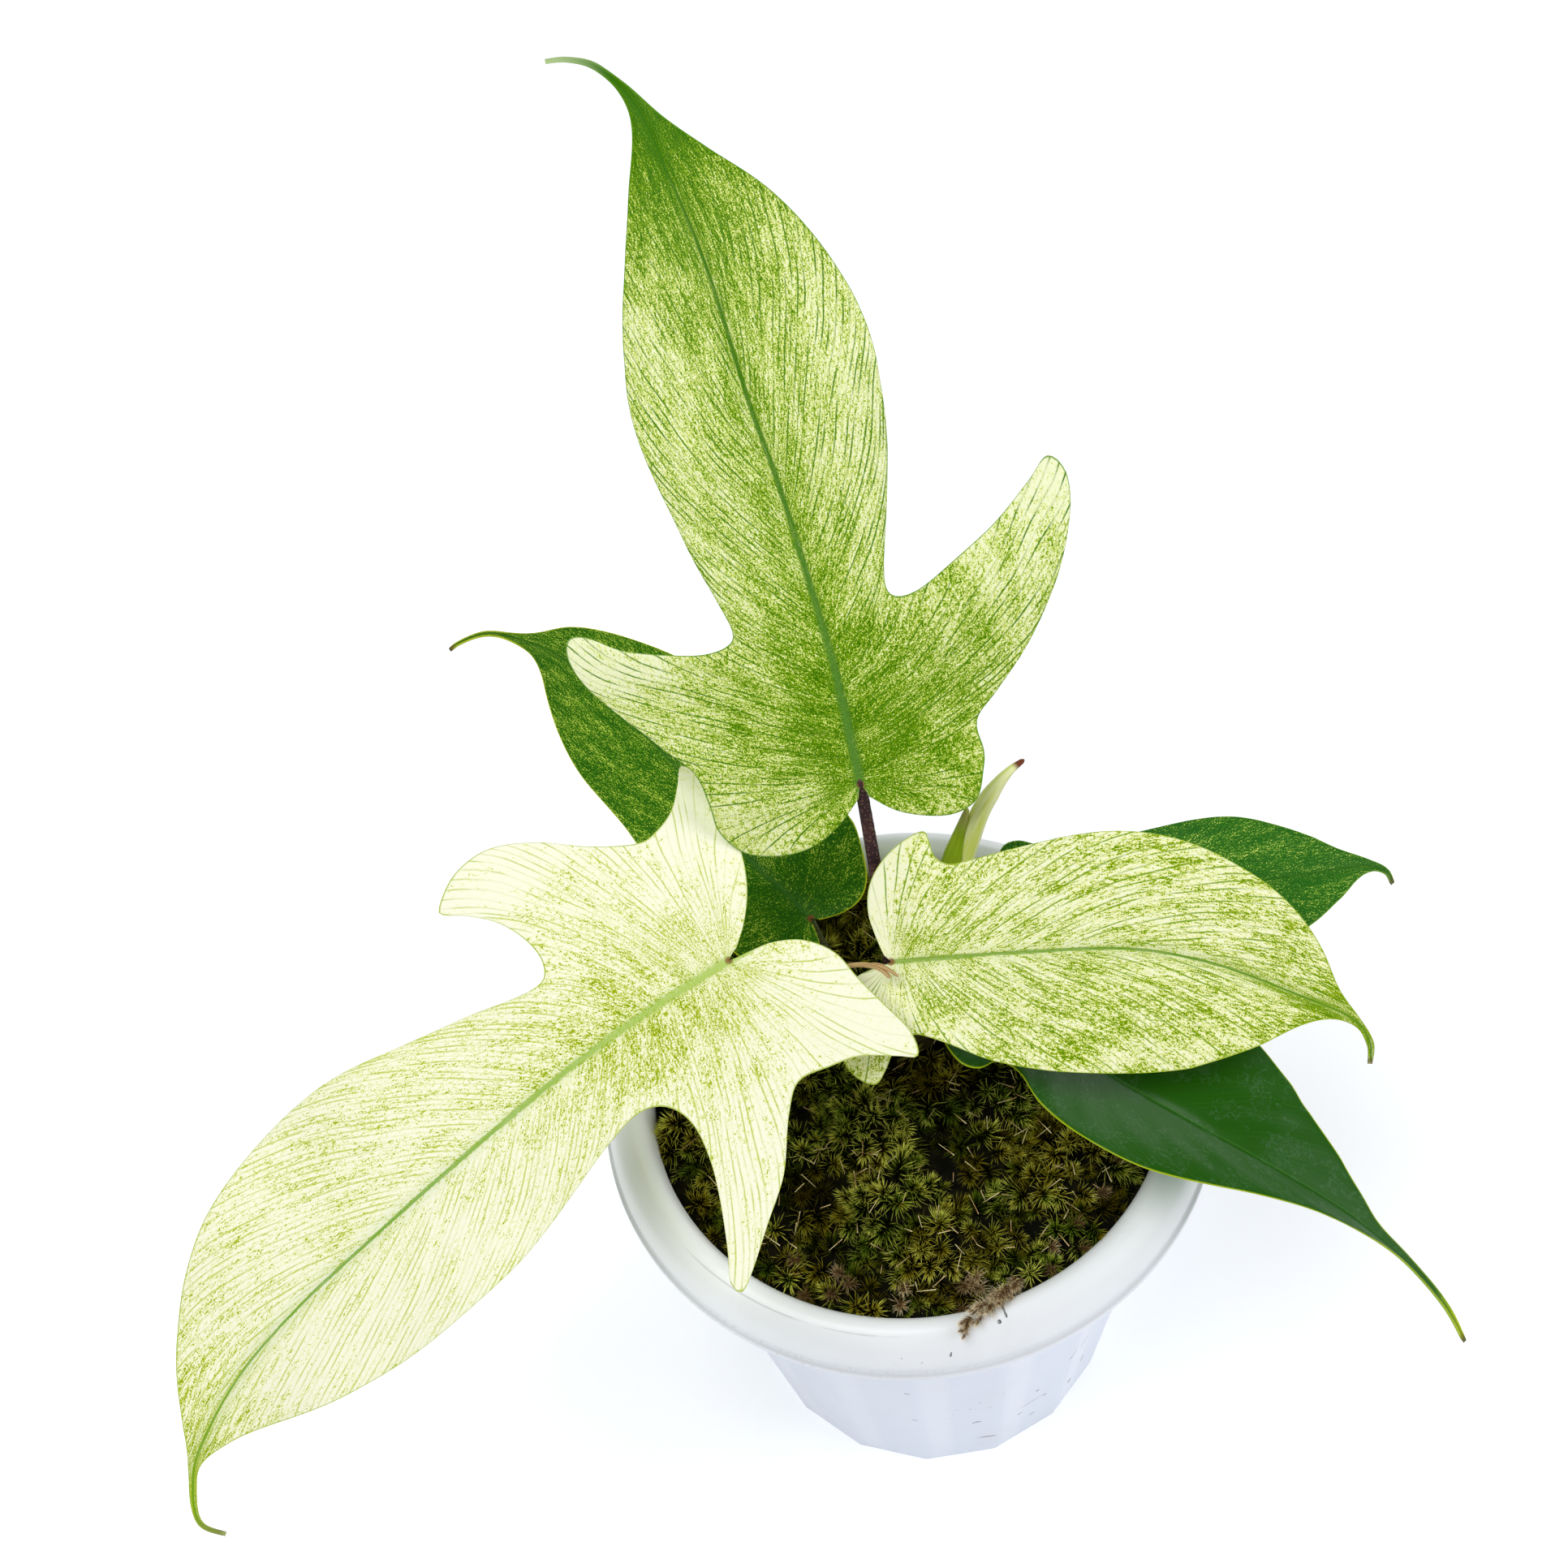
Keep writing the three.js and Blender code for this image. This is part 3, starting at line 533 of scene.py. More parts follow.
# %% White plastic
pot_finish = Finish("pot_plastic_finish", {"Coat Weight": 0.15, "Coat Roughness": 0.25})
pot_place = pot_finish.place()
pot_x, pot_y, pot_z = [part / MM for part in pot_finish.parts(pot_place)]
pot_angle = pot_x.heading_to(pot_y)
pot_radius = (pot_x * pot_x + pot_y * pot_y) ** 0.5
dust = pot_finish.grain(pot_place, 60, 4)
blotches = pot_finish.grain(pot_place, 35, 2)
# Painted shade: the body is a darker, bluer white than the roll, though the plastic is one white
# throughout.
pot_white_with_shade = pot_finish.mix(pot_z.step(100, 112), colour(218, 224, 238), colour(241, 244, 247))
# Painted highlights: paler bands down each panel, fading towards the top, stand in for the light on
# the panel faces.
bands = (pot_angle * PANELS - PANEL_CORNER * PANELS).sine().step(0.2, 1) * 0.35
pot_white_with_shade = pot_finish.mix(bands * pot_z.step(104, 90), pot_white_with_shade, colour(236, 240, 248))
pot_white_with_shade = pot_finish.mix(dust.step(0.5, 0.8) * 0.3, pot_white_with_shade, colour(222, 222, 222))

# %% Scuffs
BODY_SLOPE = 0.158

marks = 0
for angle, height, long, wide, slant, bend in MARKS:
    radius = RIM_RADIUS if height > LIP_BOTTOM else BASE_RADIUS + BODY_SLOPE * height
    around = (pot_angle - math.radians(angle)) * radius
    up = pot_z - height
    slant = math.radians(slant)
    u = (around * math.cos(slant) + up * math.sin(slant)) / long
    v = (up * math.cos(slant) - around * math.sin(slant)) / wide + u * u * bend / wide
    marks = (u * u + v * v).step(2, 0.8).larger(marks)
ragged = pot_finish.grain(pot_place, 2500, 2).step(0.35, 0.6) * 0.4 + 0.6
pot_base = pot_finish.mix(marks * ragged, pot_white_with_shade, colour(62, 66, 62))

# %% [markdown]
# Under the roll runs a seam that holds dirt, with specks round it, and a few crumbs of peat
# cling to the whole pot. A part of the mould's parting line shows on top of the roll.

# %% Dirt, seam and parting line
SEAM_HEIGHT = LIP_BOTTOM + 1.9
PARTING_HEIGHT = 115.9
PARTING_START = math.radians(-152)
PARTING_END = math.radians(-96)
PARTING_FADE = 0.2

from_seam = (pot_z - SEAM_HEIGHT).size()
under_roll = pot_radius.step(64.5, 65.5)
at_lip = from_seam.step(1.6, 0.2) * under_roll
seam = from_seam.step(0.35, 0.1) * under_roll
specks = pot_finish.cells(pot_place, 900).step(0.42, 0.25) * blotches.step(0.42, 0.62)
crumbs = pot_finish.cells(pot_place, 420).step(0.16, 0.08) * blotches.step(0.56, 0.66) * 0.8
parting = (pot_z - PARTING_HEIGHT).size().step(0.14, 0.04) * pot_radius.step(60.5, 61)
parting = parting * pot_angle.step(PARTING_START, PARTING_START + PARTING_FADE)
parting = parting * pot_angle.step(PARTING_END, PARTING_END - PARTING_FADE)
parting = parting * dust.step(0.35, 0.55)
dirt = (specks * at_lip * 0.16).larger(crumbs * 0.7).larger(seam * 0.16).larger(parting * 0.28)
pot_base = pot_finish.mix(dirt, pot_base, colour(116, 96, 80))
pot_relief = pot_finish.grain(pot_place, 900, 2) * 0.5 + dust - marks
pot_finish.paint(pot_base, dust * 0.25 + 0.3, pot_relief, 0.00004)
dress(pot, pot_finish.material, "pot_plastic", "pot")

# %% [markdown]
# ## The leaves
# Each leaf is one sheet with a midrib. A vein leaves the midrib at a slant and bends forward
# until it runs beside the margin, and each vein ends on the margin. So a list of veins draws
# the whole outline: where each leaves the midrib, and where its left and right partner end.
# Every leaf is a different size and shape, so every leaf has its own list. A row holds how far
# along the midrib the vein starts, then how far along and how far out each partner ends.

# %% Six leaves
LEAVES = {
    "tall": {
        "slot": "tall_leaf",
        "stalk": "dark_petiole",
        "petiole": [(1, 19.5, 118), (0.3, 25, 151)],
        "radii": (1.7, 1.25),
        "midrib": [
            (-0.5, 31, 181), (-2, 43.5, 202), (-4.5, 56, 218), (-7.5, 70, 233), (-10.5, 82, 243.5),
            (-12.5, 93, 253), (-15, 106, 262.5), (-18.5, 120, 269.5), (-23, 136, 276.5),
            (-29, 143, 281.5), (-35, 147, 282), (-41.5, 149, 281),
        ],
        "face": (-0.11, -0.81, 0.57),
        "fold": 2,
        "curl": 0.002,
        "rows": [
            (0, -3, 1, -3, 1.2), (0, -8.5, 6.5, -7, 6), (0, -12.2, 13, -9.3, 12),
            (0, -13, 20, -9.8, 18), (0, -11, 27, -7.2, 23), (0, -5, 31, -1, 25.5),
            (0.5, 1.5, 31.5, 3, 26.3), (1.5, 9, 33, 9.5, 26), (3, 16.2, 39, 15, 31.2),
            (5, 25, 45, 24.6, 40.8), (7, 35, 49.8, 34.5, 49), (9, 42.3, 51.8, 43.5, 53.6),
            (10.5, 46.8, 50.6, 51, 55), (12, 46.5, 47, 55, 52.3), (13.5, 42, 40.7, 51.5, 47.3),
            (15, 38.6, 32.7, 46, 39), (17, 36.3, 25.3, 41, 29), (19.5, 36.6, 19.8, 37.3, 20),
            (22, 39.3, 17.8, 38, 15.1), (25, 46.5, 19, 43.5, 15.3), (30, 58.5, 21.6, 58.5, 20.6),
            (36, 74, 23.2, 74, 25.6), (44, 89, 23, 89, 26.9), (53, 104, 20, 104, 24),
            (64, 118, 15, 118, 17.8), (78, 131, 9, 131, 10.2), (98, 143, 3.3, 143, 3.6),
            (120, 152, 1.1, 152, 1.2), (142, 161, 0.7, 161, 0.7), (170, 170, 0.5, 170, 0.5),
        ],
    },
    "front": {
        "slot": "front_leaf",
        "stalk": "brown_petiole",
        "petiole": [(-3, 13.5, 117.5), (-16.5, 10.5, 147)],
        "radii": (1.8, 1.3),
        "midrib": [
            (-33, 5, 164), (-50, -5.5, 167), (-68.5, -16, 166), (-88.5, -27.5, 162),
            (-109, -39, 156), (-128, -49.5, 149), (-141.5, -58.5, 142), (-151, -68.5, 135),
            (-154, -74, 130), (-154, -80, 125), (-148.5, -82.5, 122),
        ],
        "face": (0.14, -0.24, 0.96),
        "fold": 7,
        "curl": 0.003,
        "rows": [
            (0, -3.5, 0.5, -3, 1.4), (0, -10, 1.6, -7.4, 4.8), (0, -16, 5, -12, 9.8),
            (0, -19.6, 11, -15.4, 15.5), (0, -20, 18.5, -18.4, 23), (0, -21, 27, -20.2, 30.5),
            (0, -21.6, 34, -20, 36.5), (0, -19.6, 38.8, -17.7, 41.3),
            (0.3, -15.8, 36.3, -13.8, 37.6), (0.8, -9.5, 32.3, -9, 33.4),
            (1.5, -2, 30.8, -3.5, 31.2), (2.5, 5.5, 30, 1.5, 31.2), (4, 11.5, 34.6, 10, 36.2),
            (5.5, 19.5, 43.5, 18.5, 43), (7, 28.5, 49.8, 27, 46.9), (9, 37, 55.2, 35, 46.5),
            (10.5, 41.9, 57.2, 40.8, 43), (11.8, 42.6, 54.4, 41.2, 41),
            (13.5, 38.4, 48.8, 37.8, 37.4), (15, 33.6, 41, 34, 32), (16.5, 29.8, 33, 32, 25.5),
            (18.5, 27.9, 24.5, 32.2, 20.2), (21, 30, 18.6, 34.8, 17.3), (24, 35.5, 16.3, 41, 18.3),
            (28, 45, 17.9, 51, 22), (34, 58.5, 21.2, 65, 25.9), (42, 73.5, 24, 79.5, 29.7),
            (51, 89, 24.3, 94, 30.3), (61, 104, 22.6, 108.5, 27.2), (73, 118, 19, 121.5, 21.3),
            (87, 131, 12.8, 133, 12.8), (104, 141.5, 5.4, 142.5, 5.4), (122, 149, 1.3, 149, 1.5),
            (140, 157, 0.7, 157, 0.7), (167, 167, 0.45, 167, 0.45),
        ],
    },
    "right": {
        "slot": "right_leaf",
        "stalk": "brown_petiole",
        "petiole": [(3, 11.5, 117), (1.6, 9.8, 136)],
        "radii": (1.7, 1.3),
        "midrib": [
            (0, 7, 150), (11.5, 4, 153), (31, 0.5, 155), (49.5, -2, 154), (66, -6.5, 150),
            (82, -13.5, 144), (92.5, -17.5, 138), (96, -20.5, 132), (96, -22.5, 125),
        ],
        "face": (-0.16, -0.44, 0.88),
        "fold": 8,
        "curl": 0.004,
        "bow": 0.25,
        "rows": [
            (0, -1.5, 1.5, -3, 0.9), (0, -3, 6, -8, 2.8), (0, -4.1, 11, -11.4, 8),
            (0, -3.3, 16.3, -12.2, 14.5), (0, -0.2, 21, -10.8, 20.6), (0, 5, 24.8, -7.5, 24.4),
            (0, 9.6, 26.7, -3.8, 25.7), (0.3, 10.7, 24.2, -1.8, 23.2), (0.8, 11.5, 21.2, 0.4, 18.8),
            (1.6, 14.4, 19.4, 4.3, 15.8), (2.6, 19.5, 20.1, 10.4, 17.6), (4.2, 28, 21.8, 21, 22.4),
            (6.5, 38, 23.4, 34, 25.3), (10, 48.5, 24.3, 47, 26.1), (15, 58.5, 23.6, 60, 24.8),
            (22, 69, 20.7, 71.5, 21), (32, 79, 16.4, 81.5, 14.1), (45, 88, 10.6, 89, 6.2),
            (61, 95, 4, 95, 2.4), (79, 101.5, 1, 101.5, 1), (98, 108, 0.8, 108, 0.8),
            (114, 114, 0.5, 114, 0.5),
        ],
    },
    "back": {
        "slot": "green_leaf",
        "stalk": "green_petiole",
        "petiole": [(-3.5, 19, 117.3), (-9, 25, 117.8), (-13, 30.5, 121)],
        "radii": (1.7, 1.3),
        "midrib": [
            (-15, 33.5, 131), (-20.5, 41, 134), (-26.5, 48.5, 136), (-37.5, 71, 139),
            (-50, 91.5, 140), (-62.5, 112.5, 138), (-73, 123.5, 135), (-81, 129.5, 132),
            (-88.5, 130.5, 129), (-92.5, 130, 126),
        ],
        "face": (0.05, -0.25, 0.97),
        "fold": 8,
        "curl": 0.005,
        "rows": [
            (0, -1.6, 0.7, -1.6, 1.2), (0, -6, 3, -4, 6), (0, -8.3, 8, -4.5, 11),
            (0, -7, 13.5, -1.8, 15.6), (0, -1, 17, 4, 19.4), (0.5, 6, 18.6, 10.5, 23),
            (2, 15, 19.2, 20, 25), (6, 27, 19.2, 32, 25.6), (11, 39, 18.8, 44, 24.8),
            (18, 51, 18.6, 56, 22.6), (26, 63, 17.6, 68, 19.6), (36, 74, 14.8, 79, 16.4),
            (48, 85, 10.8, 89, 12.6), (62, 95, 6.4, 98, 7.8), (77, 104, 2.7, 105, 3.1),
            (93, 113, 1.2, 113, 1), (112, 122, 0.7, 122, 0.7), (131, 131, 0.5, 131, 0.5),
        ],
    },
    "far": {
        "slot": "green_leaf",
        "stalk": "green_petiole",
        "petiole": [(9.2, 15.8, 118), (21.5, 24, 121)],
        "radii": (1.7, 1.3),
        "midrib": [
            (34, 30, 128), (46, 27.5, 128.5), (61.5, 25.5, 130.5), (74, 24.5, 130.5),
            (86, 25, 129.5), (98.5, 26, 127.5), (108, 27.5, 125), (113, 27, 122), (115, 25.5, 117),
        ],
        "face": (0.05, -0.25, 0.97),
        "fold": 8,
        "curl": 0.005,
        "rows": [
            (0, -1.5, 0.8, -1.5, 0.8), (0, -5.5, 4.5, -5, 4), (0, -7.5, 10, -6, 8.5),
            (0, -6.4, 13.4, -4.5, 12), (0, -3, 14.4, 0, 13.4), (0.3, 1.6, 13.2, 5, 13.6),
            (1, 8, 12.8, 12, 14.4), (4, 17, 13.6, 20, 16), (8, 27, 14.8, 30, 17.4),
            (14, 38, 15.9, 41, 17.4), (21, 48, 15.2, 51, 15.4), (30, 57, 12, 59.5, 11.8),
            (40, 65, 8, 66.5, 7.3), (50, 71.3, 3.9, 71.8, 3.7), (61, 77, 1.3, 77, 1.6),
            (74, 82, 0.7, 82, 0.8), (86, 86, 0.5, 86, 0.5),
        ],
    },
    "low": {
        "slot": "low_leaf",
        "stalk": "green_petiole",
        "petiole": [(7.5, 11, 118.5), (18.5, 7, 122)],
        "radii": (1.7, 1.3),
        "midrib": [
            (27.6, 2.1, 128), (35.3, -8.8, 129.4), (43.3, -18.6, 130.8), (50.4, -26, 131.1),
            (58.5, -33.1, 130.2), (67.7, -39.8, 127.2), (73.5, -43.6, 124.3), (80.8, -48, 119.6),
            (87.4, -52, 114.3), (96, -58.1, 105.7), (103.2, -65.2, 96), (107, -72, 88),
        ],
        "face": (0.07, 0.2, 0.98),
        "fold": 18,
        "curl": 0.01,
        "rows": [
            (0, -1.5, 1, -1.5, 1), (0, -5, 3.5, -6, 5), (0, -6.5, 7, -9, 12),
            (0, -4.5, 10.5, -7.5, 19), (0, -0.5, 12, -3, 23), (0.3, 4, 12.6, 3, 24),
            (1, 8, 13.8, 6.4, 21.5), (2.5, 12, 15.4, 7.2, 17), (5, 18, 18, 12, 15.7),
            (9, 27, 21, 21, 19.8), (14, 37, 23.2, 31, 22), (20, 47.5, 23.8, 41, 21),
            (28, 57.5, 20.7, 52, 15.8), (38, 66.5, 16, 62, 11.2), (49, 75, 10.8, 73, 7),
            (61, 82.5, 6, 82.5, 4.6), (75, 90, 2.4, 90, 2.8), (91, 100, 1.2, 100, 1.3),
            (107, 112, 0.9, 112, 0.9), (123, 123, 0.5, 123, 0.5),
        ],
    },
}

# %% [markdown]
# The rows are close together where the margin turns sharply and far apart elsewhere. The
# fine mesh adds smooth rows between them until no gap is longer than a small step. A vein
# isn't straight: it bows out before it bends forward.

# %% Fine rows of veins
ROW_STEP = 1.6
BOW = 0.5


def fine_rows(rows):
    last = len(rows) - 1
    fine = []
    for i in range(last):
        near = [rows[max(i - 1, 0)], rows[i], rows[i + 1], rows[min(i + 2, last)]]
        here, there = near[1], near[2]
        gaps = [math.hypot(there[1] - here[1], there[2] - here[2]),
                math.hypot(there[3] - here[3], there[4] - here[4]), there[0] - here[0]]
        count = math.ceil(max(gaps) / ROW_STEP)
        for step in range(count):
            t = step / count
            ends = [smooth_step([row[column] for row in near], t) for column in range(1, 5)]
            fine.append((here[0] + (there[0] - here[0]) * t, *ends))
    fine.append(rows[last])
    return fine


def on_vein(row, side, bow):
    """The place along and out from the midrib, a signed share of the way down a vein."""
    half = 1 if side >= 0 else -1
    share = abs(side)
    along, out = row[1:3] if half > 0 else row[3:5]
    return row[0] + (along - row[0]) * share, half * out * share * (1 + bow - bow * share)


# %% [markdown]
# A leaf is never flat. Its halves rise from the midrib in a shallow V and curl down again,
# the margin waves a little, and the upper side is drawn in along the midrib and quilted
# between the veins. The blade is about half a millimetre thick and thins towards its
# margin. Under the midrib it has a rounded keel, which fades towards the tip.

# %% Leaf sheets
WAVE_HEIGHT = 1.1
WAVE_PERIOD = 40
WAVE_REACH = 24
LEFT_WAVE = 0.8
RIGHT_WAVE = 2.6
HALF_COLUMNS = 28
MARGIN_SHARE = 0.985
RIB_BUNCHING = 0.85


class Leaf:
    """One leaf blade: its midrib, the lie of its two halves and its veins."""

    def __init__(self, data):
        self.line = Line(data["midrib"])
        self.face = Vector(data["face"]).normalized()
        self.fold = math.radians(data["fold"])
        self.curl = data["curl"]
        self.bow = data.get("bow", BOW)
        self.rows = fine_rows(data["rows"])
        self.length = self.rows[-1][0]
        self.measure_veins()

    def surface(self, along, out):
        """A point of the upper side and the way that it faces."""
        share = min(max(along / self.line.length, 0), 1)
        forward = self.line.heading(share)
        left = self.face.cross(forward).normalized()
        above = forward.cross(left)
        reach = abs(out)
        phase = LEFT_WAVE if out > 0 else RIGHT_WAVE
        edge = min(1, (reach / WAVE_REACH) ** 2)
        wave = edge * math.sin(2 * math.pi * along / WAVE_PERIOD + phase)
        bend = reach * math.sin(self.fold) - self.curl * reach * reach / 2
        point = self.line.at(share) + forward * (along - share * self.line.length)
        point += left * out * math.cos(self.fold) + above * (bend + WAVE_HEIGHT * wave)
        return point, above

    def measure_veins(self):
        """Measures each point: along its vein, across the veins and in from the margin."""
        self.sides = [self.side(i) for i in range(2 * HALF_COLUMNS + 1)]
        flat = np.array([[on_vein(row, side, self.bow) for side in self.sides]
                         for row in self.rows])
        self.flat = flat
        middle = HALF_COLUMNS
        steps = np.linalg.norm(np.diff(flat, axis=1), axis=2)
        self.down = np.zeros(flat.shape[:2])
        self.down[:, middle + 1:] = np.cumsum(steps[:, middle:], axis=1)
        self.down[:, :middle] = np.cumsum(steps[:, middle - 1::-1], axis=1)[:, ::-1]
        self.across = np.zeros(flat.shape[:2])
        self.spread = np.ones(flat.shape[:2])
        halves = ((slice(0, middle), middle // 2), (slice(middle, None), -middle // 2))
        for columns, probe in halves:
            vein = flat[:-1, probe + 1] - flat[:-1, probe]
            vein /= np.linalg.norm(vein, axis=1, keepdims=True)
            shift = flat[1:, probe] - flat[:-1, probe]
            gap = np.abs(vein[:, 0] * shift[:, 1] - vein[:, 1] * shift[:, 0])
            self.across[1:, columns] = np.cumsum(gap)[:, None]
            self.spread[1:, columns] = self.row_gaps(columns) / np.maximum(gap, 0.05)[:, None]
        margin = np.concatenate([flat[:, 0], flat[:, -1]])
        offsets = flat[:, :, None, :] - margin[None, None, :, :]
        self.edge = np.sqrt((offsets ** 2).sum(axis=3).min(axis=2))

    def row_gaps(self, columns):
        """The distance square to the veins between each row and the one before it."""
        flat = self.flat[:, columns]
        vein = np.gradient(flat, axis=1)[1:]
        vein /= np.linalg.norm(vein, axis=2, keepdims=True) + 0.001
        shift = np.diff(flat, axis=0)
        return np.abs(vein[..., 0] * shift[..., 1] - vein[..., 1] * shift[..., 0])

    @staticmethod
    def side(i):
        """The signed share of the way to the margin for one column of the upper side."""
        even = 1 - i / HALF_COLUMNS
        share = min(abs(even) * HALF_COLUMNS / (HALF_COLUMNS - 1), 1)
        side = share * (1 - RIB_BUNCHING + RIB_BUNCHING * share) * MARGIN_SHARE
        return math.copysign(1 if abs(even) == 1 else side, even)


leaves = {name: Leaf(data) for name, data in LEAVES.items()}
for name, leaf in leaves.items():
    print(name, "midrib", round(leaf.length), "mm with", len(leaf.rows), "rows")

# %% [markdown]
# The same columns run out over the upper side and back along the under side, so each blade is
# closed. Its mesh carries what the finish needs: a map along the veins, a flat map of the
# blade, how green it is there, how far the margin is and how the veins spread.

# %% Blades from the sheets
BLADE_THICKNESS = 0.45
KEEL_DEPTH = 1.1
KEEL_WIDTH = 1.3
KEEL_FADE = 0.75
GROOVE_DEPTH = 0.35
GROOVE_WIDTH = 0.9
QUILT_PERIOD = 6.5
QUILT_HEIGHT = 0.1
QUILT_START = 6
END_ROWS = 2
OTHER_HALF = 500
SPREAD_RANGE = (0.2, 6)


def greenness(look, along, out):
    """How green a place is: the leaf's own share and what the patches near it add."""
    total = look["base"]
    for middle_along, middle_out, long_reach, wide_reach, amount in look["patches"]:
        away = ((along - middle_along) / long_reach) ** 2
        away += ((out - middle_out) / wide_reach) ** 2
        total += amount * math.exp(-away)
    return total


def blade_piece(name, leaf, look):
    """A closed blade that is thin at its margin, with a keel under its midrib."""
    last_row = len(leaf.rows) - 1
    known = {}

    def column(i):
        return min(i, 4 * HALF_COLUMNS - i)

    def flat(i, j):
        return tuple(leaf.flat[j, column(i)])

    def place(i, j):
        under = i > 2 * HALF_COLUMNS
        i = column(i)
        if (i, j) not in known:
            known[i, j] = leaf.surface(*leaf.flat[j, i])
        point, above = known[i, j]
        along, out = leaf.flat[j, i]
        side = abs(leaf.sides[i])
        to_end = min(1, min(j, last_row - j) / END_ROWS)
        full = math.sqrt(1 - side ** 12) * math.sqrt(to_end)
        fade = 1 - KEEL_FADE * along / leaf.length
        keel = math.exp(-(out / KEEL_WIDTH) ** 2) * max(fade, 0.2)
        half = BLADE_THICKNESS / 2
        if under:
            return point - above * (half + half * full + KEEL_DEPTH * keel * min(1, full * 3))
        quilt = math.sin(2 * math.pi * leaf.across[j, i] / QUILT_PERIOD)
        quilt *= QUILT_HEIGHT * min(1, abs(out) / QUILT_START) * (1 - side ** 4)
        groove = GROOVE_DEPTH * math.exp(-(out / GROOVE_WIDTH) ** 2) * max(fade, 0)
        return point - above * (half - half * full + groove * to_end - quilt)

    def veins(i, j):
        i = column(i)
        return leaf.across[j, i] + (OTHER_HALF if i < HALF_COLUMNS else 0), leaf.down[j, i]

    return grid_piece(name, 4 * HALF_COLUMNS, last_row, place, {"veins": veins, "blade": flat}, {
        "green": lambda i, j: greenness(look, *flat(i, j)),
        "edge": lambda i, j: leaf.edge[j, column(i)],
        "spread": lambda i, j: min(max(leaf.spread[j, column(i)], SPREAD_RANGE[0]),
                                   SPREAD_RANGE[1]),
        "under": lambda i, j: float(2 * HALF_COLUMNS < i < 4 * HALF_COLUMNS),
    })


# %% [markdown]
# ## Ghostly colour
# The leaves of this plant start nearly white and turn green as they age, fleck by fleck.
# The green follows the veins: short dashes along them, crowded into streaks, and more of
# them near the midrib and at the tip. So a noise that is stretched along the veins is cut
# at a threshold, and the threshold follows how green each part of the leaf is.

# %% Shades and maps of a leaf
SHADES = ("pale", "yellow", "green", "dark", "line", "margin", "under", "rib_base", "rib", "tip")


class LeafFinish(Finish):
    """The finish of one leaf: its shades, and the maps and noises that all its parts read."""

    def __init__(self, name, look):
        super().__init__(name, {"Specular IOR Level": look["shine"]})
        self.look = look
        self.shade = {key: colour(*value) for key, value in zip(SHADES, look["shades"])}
        self.across, self.down = self.map("veins")
        self.along, self.out = self.map("blade")
        self.from_rib = self.out.size()
        self.dashes = self.streaks(self.across * 2.8, self.down * 0.9, 7, 2, 0.6)
        self.bands = self.streaks(self.across * 0.6, self.down * 0.13, detail=2)
        self.fine = self.streaks(self.along * 3.2, self.out * 3.2, 3)


# %% Flecks of green
def flecked(leaf):
    """The ground of a leaf: pale, yellow, green or dark, as the level of green says."""
    look, shade = leaf.look, leaf.shade
    clouds = leaf.streaks(leaf.across * 0.16, leaf.down * 0.1, 21)
    level = leaf.number("green") + (leaf.dashes - 0.5) * look["dashes"]
    level = level + (leaf.fine - 0.5) * look["flecks"] + (leaf.bands - 0.5) * look["streaks"]
    level = level + (clouds - 0.5) * look["clouds"]
    tint = leaf.mix(level.step(0.1, 0.4), shade["pale"], shade["yellow"])
    tint = leaf.mix(level.step(0.42, 0.57), tint, shade["green"])
    return leaf.mix(level.step(0.66, 0.88), tint, shade["dark"])


# %% [markdown]
# Between the main veins run many fine ones, about a millimetre apart. A triangle wave on the
# map across the veins draws them. It wanders a little and fades here and there, and the number
# that says how the veins spread keeps every line equally thin.

# %% Fine veins
LINE_SPACING = 1.1
LINE_WIDTH = 0.24


def fine_veins(leaf):
    wander = leaf.streaks(leaf.across * 0.12, leaf.down * 0.05, 11) * 1.6
    tooth = leaf.node("ShaderNodeMath", {"operation": "PINGPONG"},
                      {0: leaf.across / LINE_SPACING + wander, 1: 0.5})
    fading = leaf.streaks(leaf.across * 0.9, leaf.down * 0.08, 9).step(0.42, 0.62)
    lines = (tooth * leaf.number("spread") * LINE_SPACING).step(LINE_WIDTH, LINE_WIDTH / 4)
    lines = lines * (leaf.dashes.step(0.25, 0.5) * 0.4 + 0.6) * (fading * 0.8 + 0.2)
    return lines * leaf.down.step(1, 8) * leaf.look["lines"]


# %% [markdown]
# The midrib is fibrous, has a soft halo and narrows towards the tip. Then come the coloured
# margin, the brown joint with the petiole, the drip tip, old water stains on a glossy leaf,
# and last the paler under side.

# %% Midrib
def midrib_of(leaf, so_far):
    """How much of the midrib shows at a point; its fibres fray its edge."""
    width = (1 - so_far) * (1 - so_far) * leaf.look["rib_width"] + leaf.look["rib_tip"]
    fibres = leaf.streaks(leaf.along * 0.12, leaf.out * 3, 15, 2)
    midrib = (leaf.from_rib / width + (fibres + leaf.fine - 1) * 1.6).step(1.3, 0.6)
    return midrib * (fibres.step(0.3, 0.6) * 0.2 + 0.8)


# %% A whole leaf finish
JOINT_COLOUR = colour(138, 70, 48)
STAIN_COLOUR = colour(150, 178, 158)
LEAF_RELIEF = 0.00012


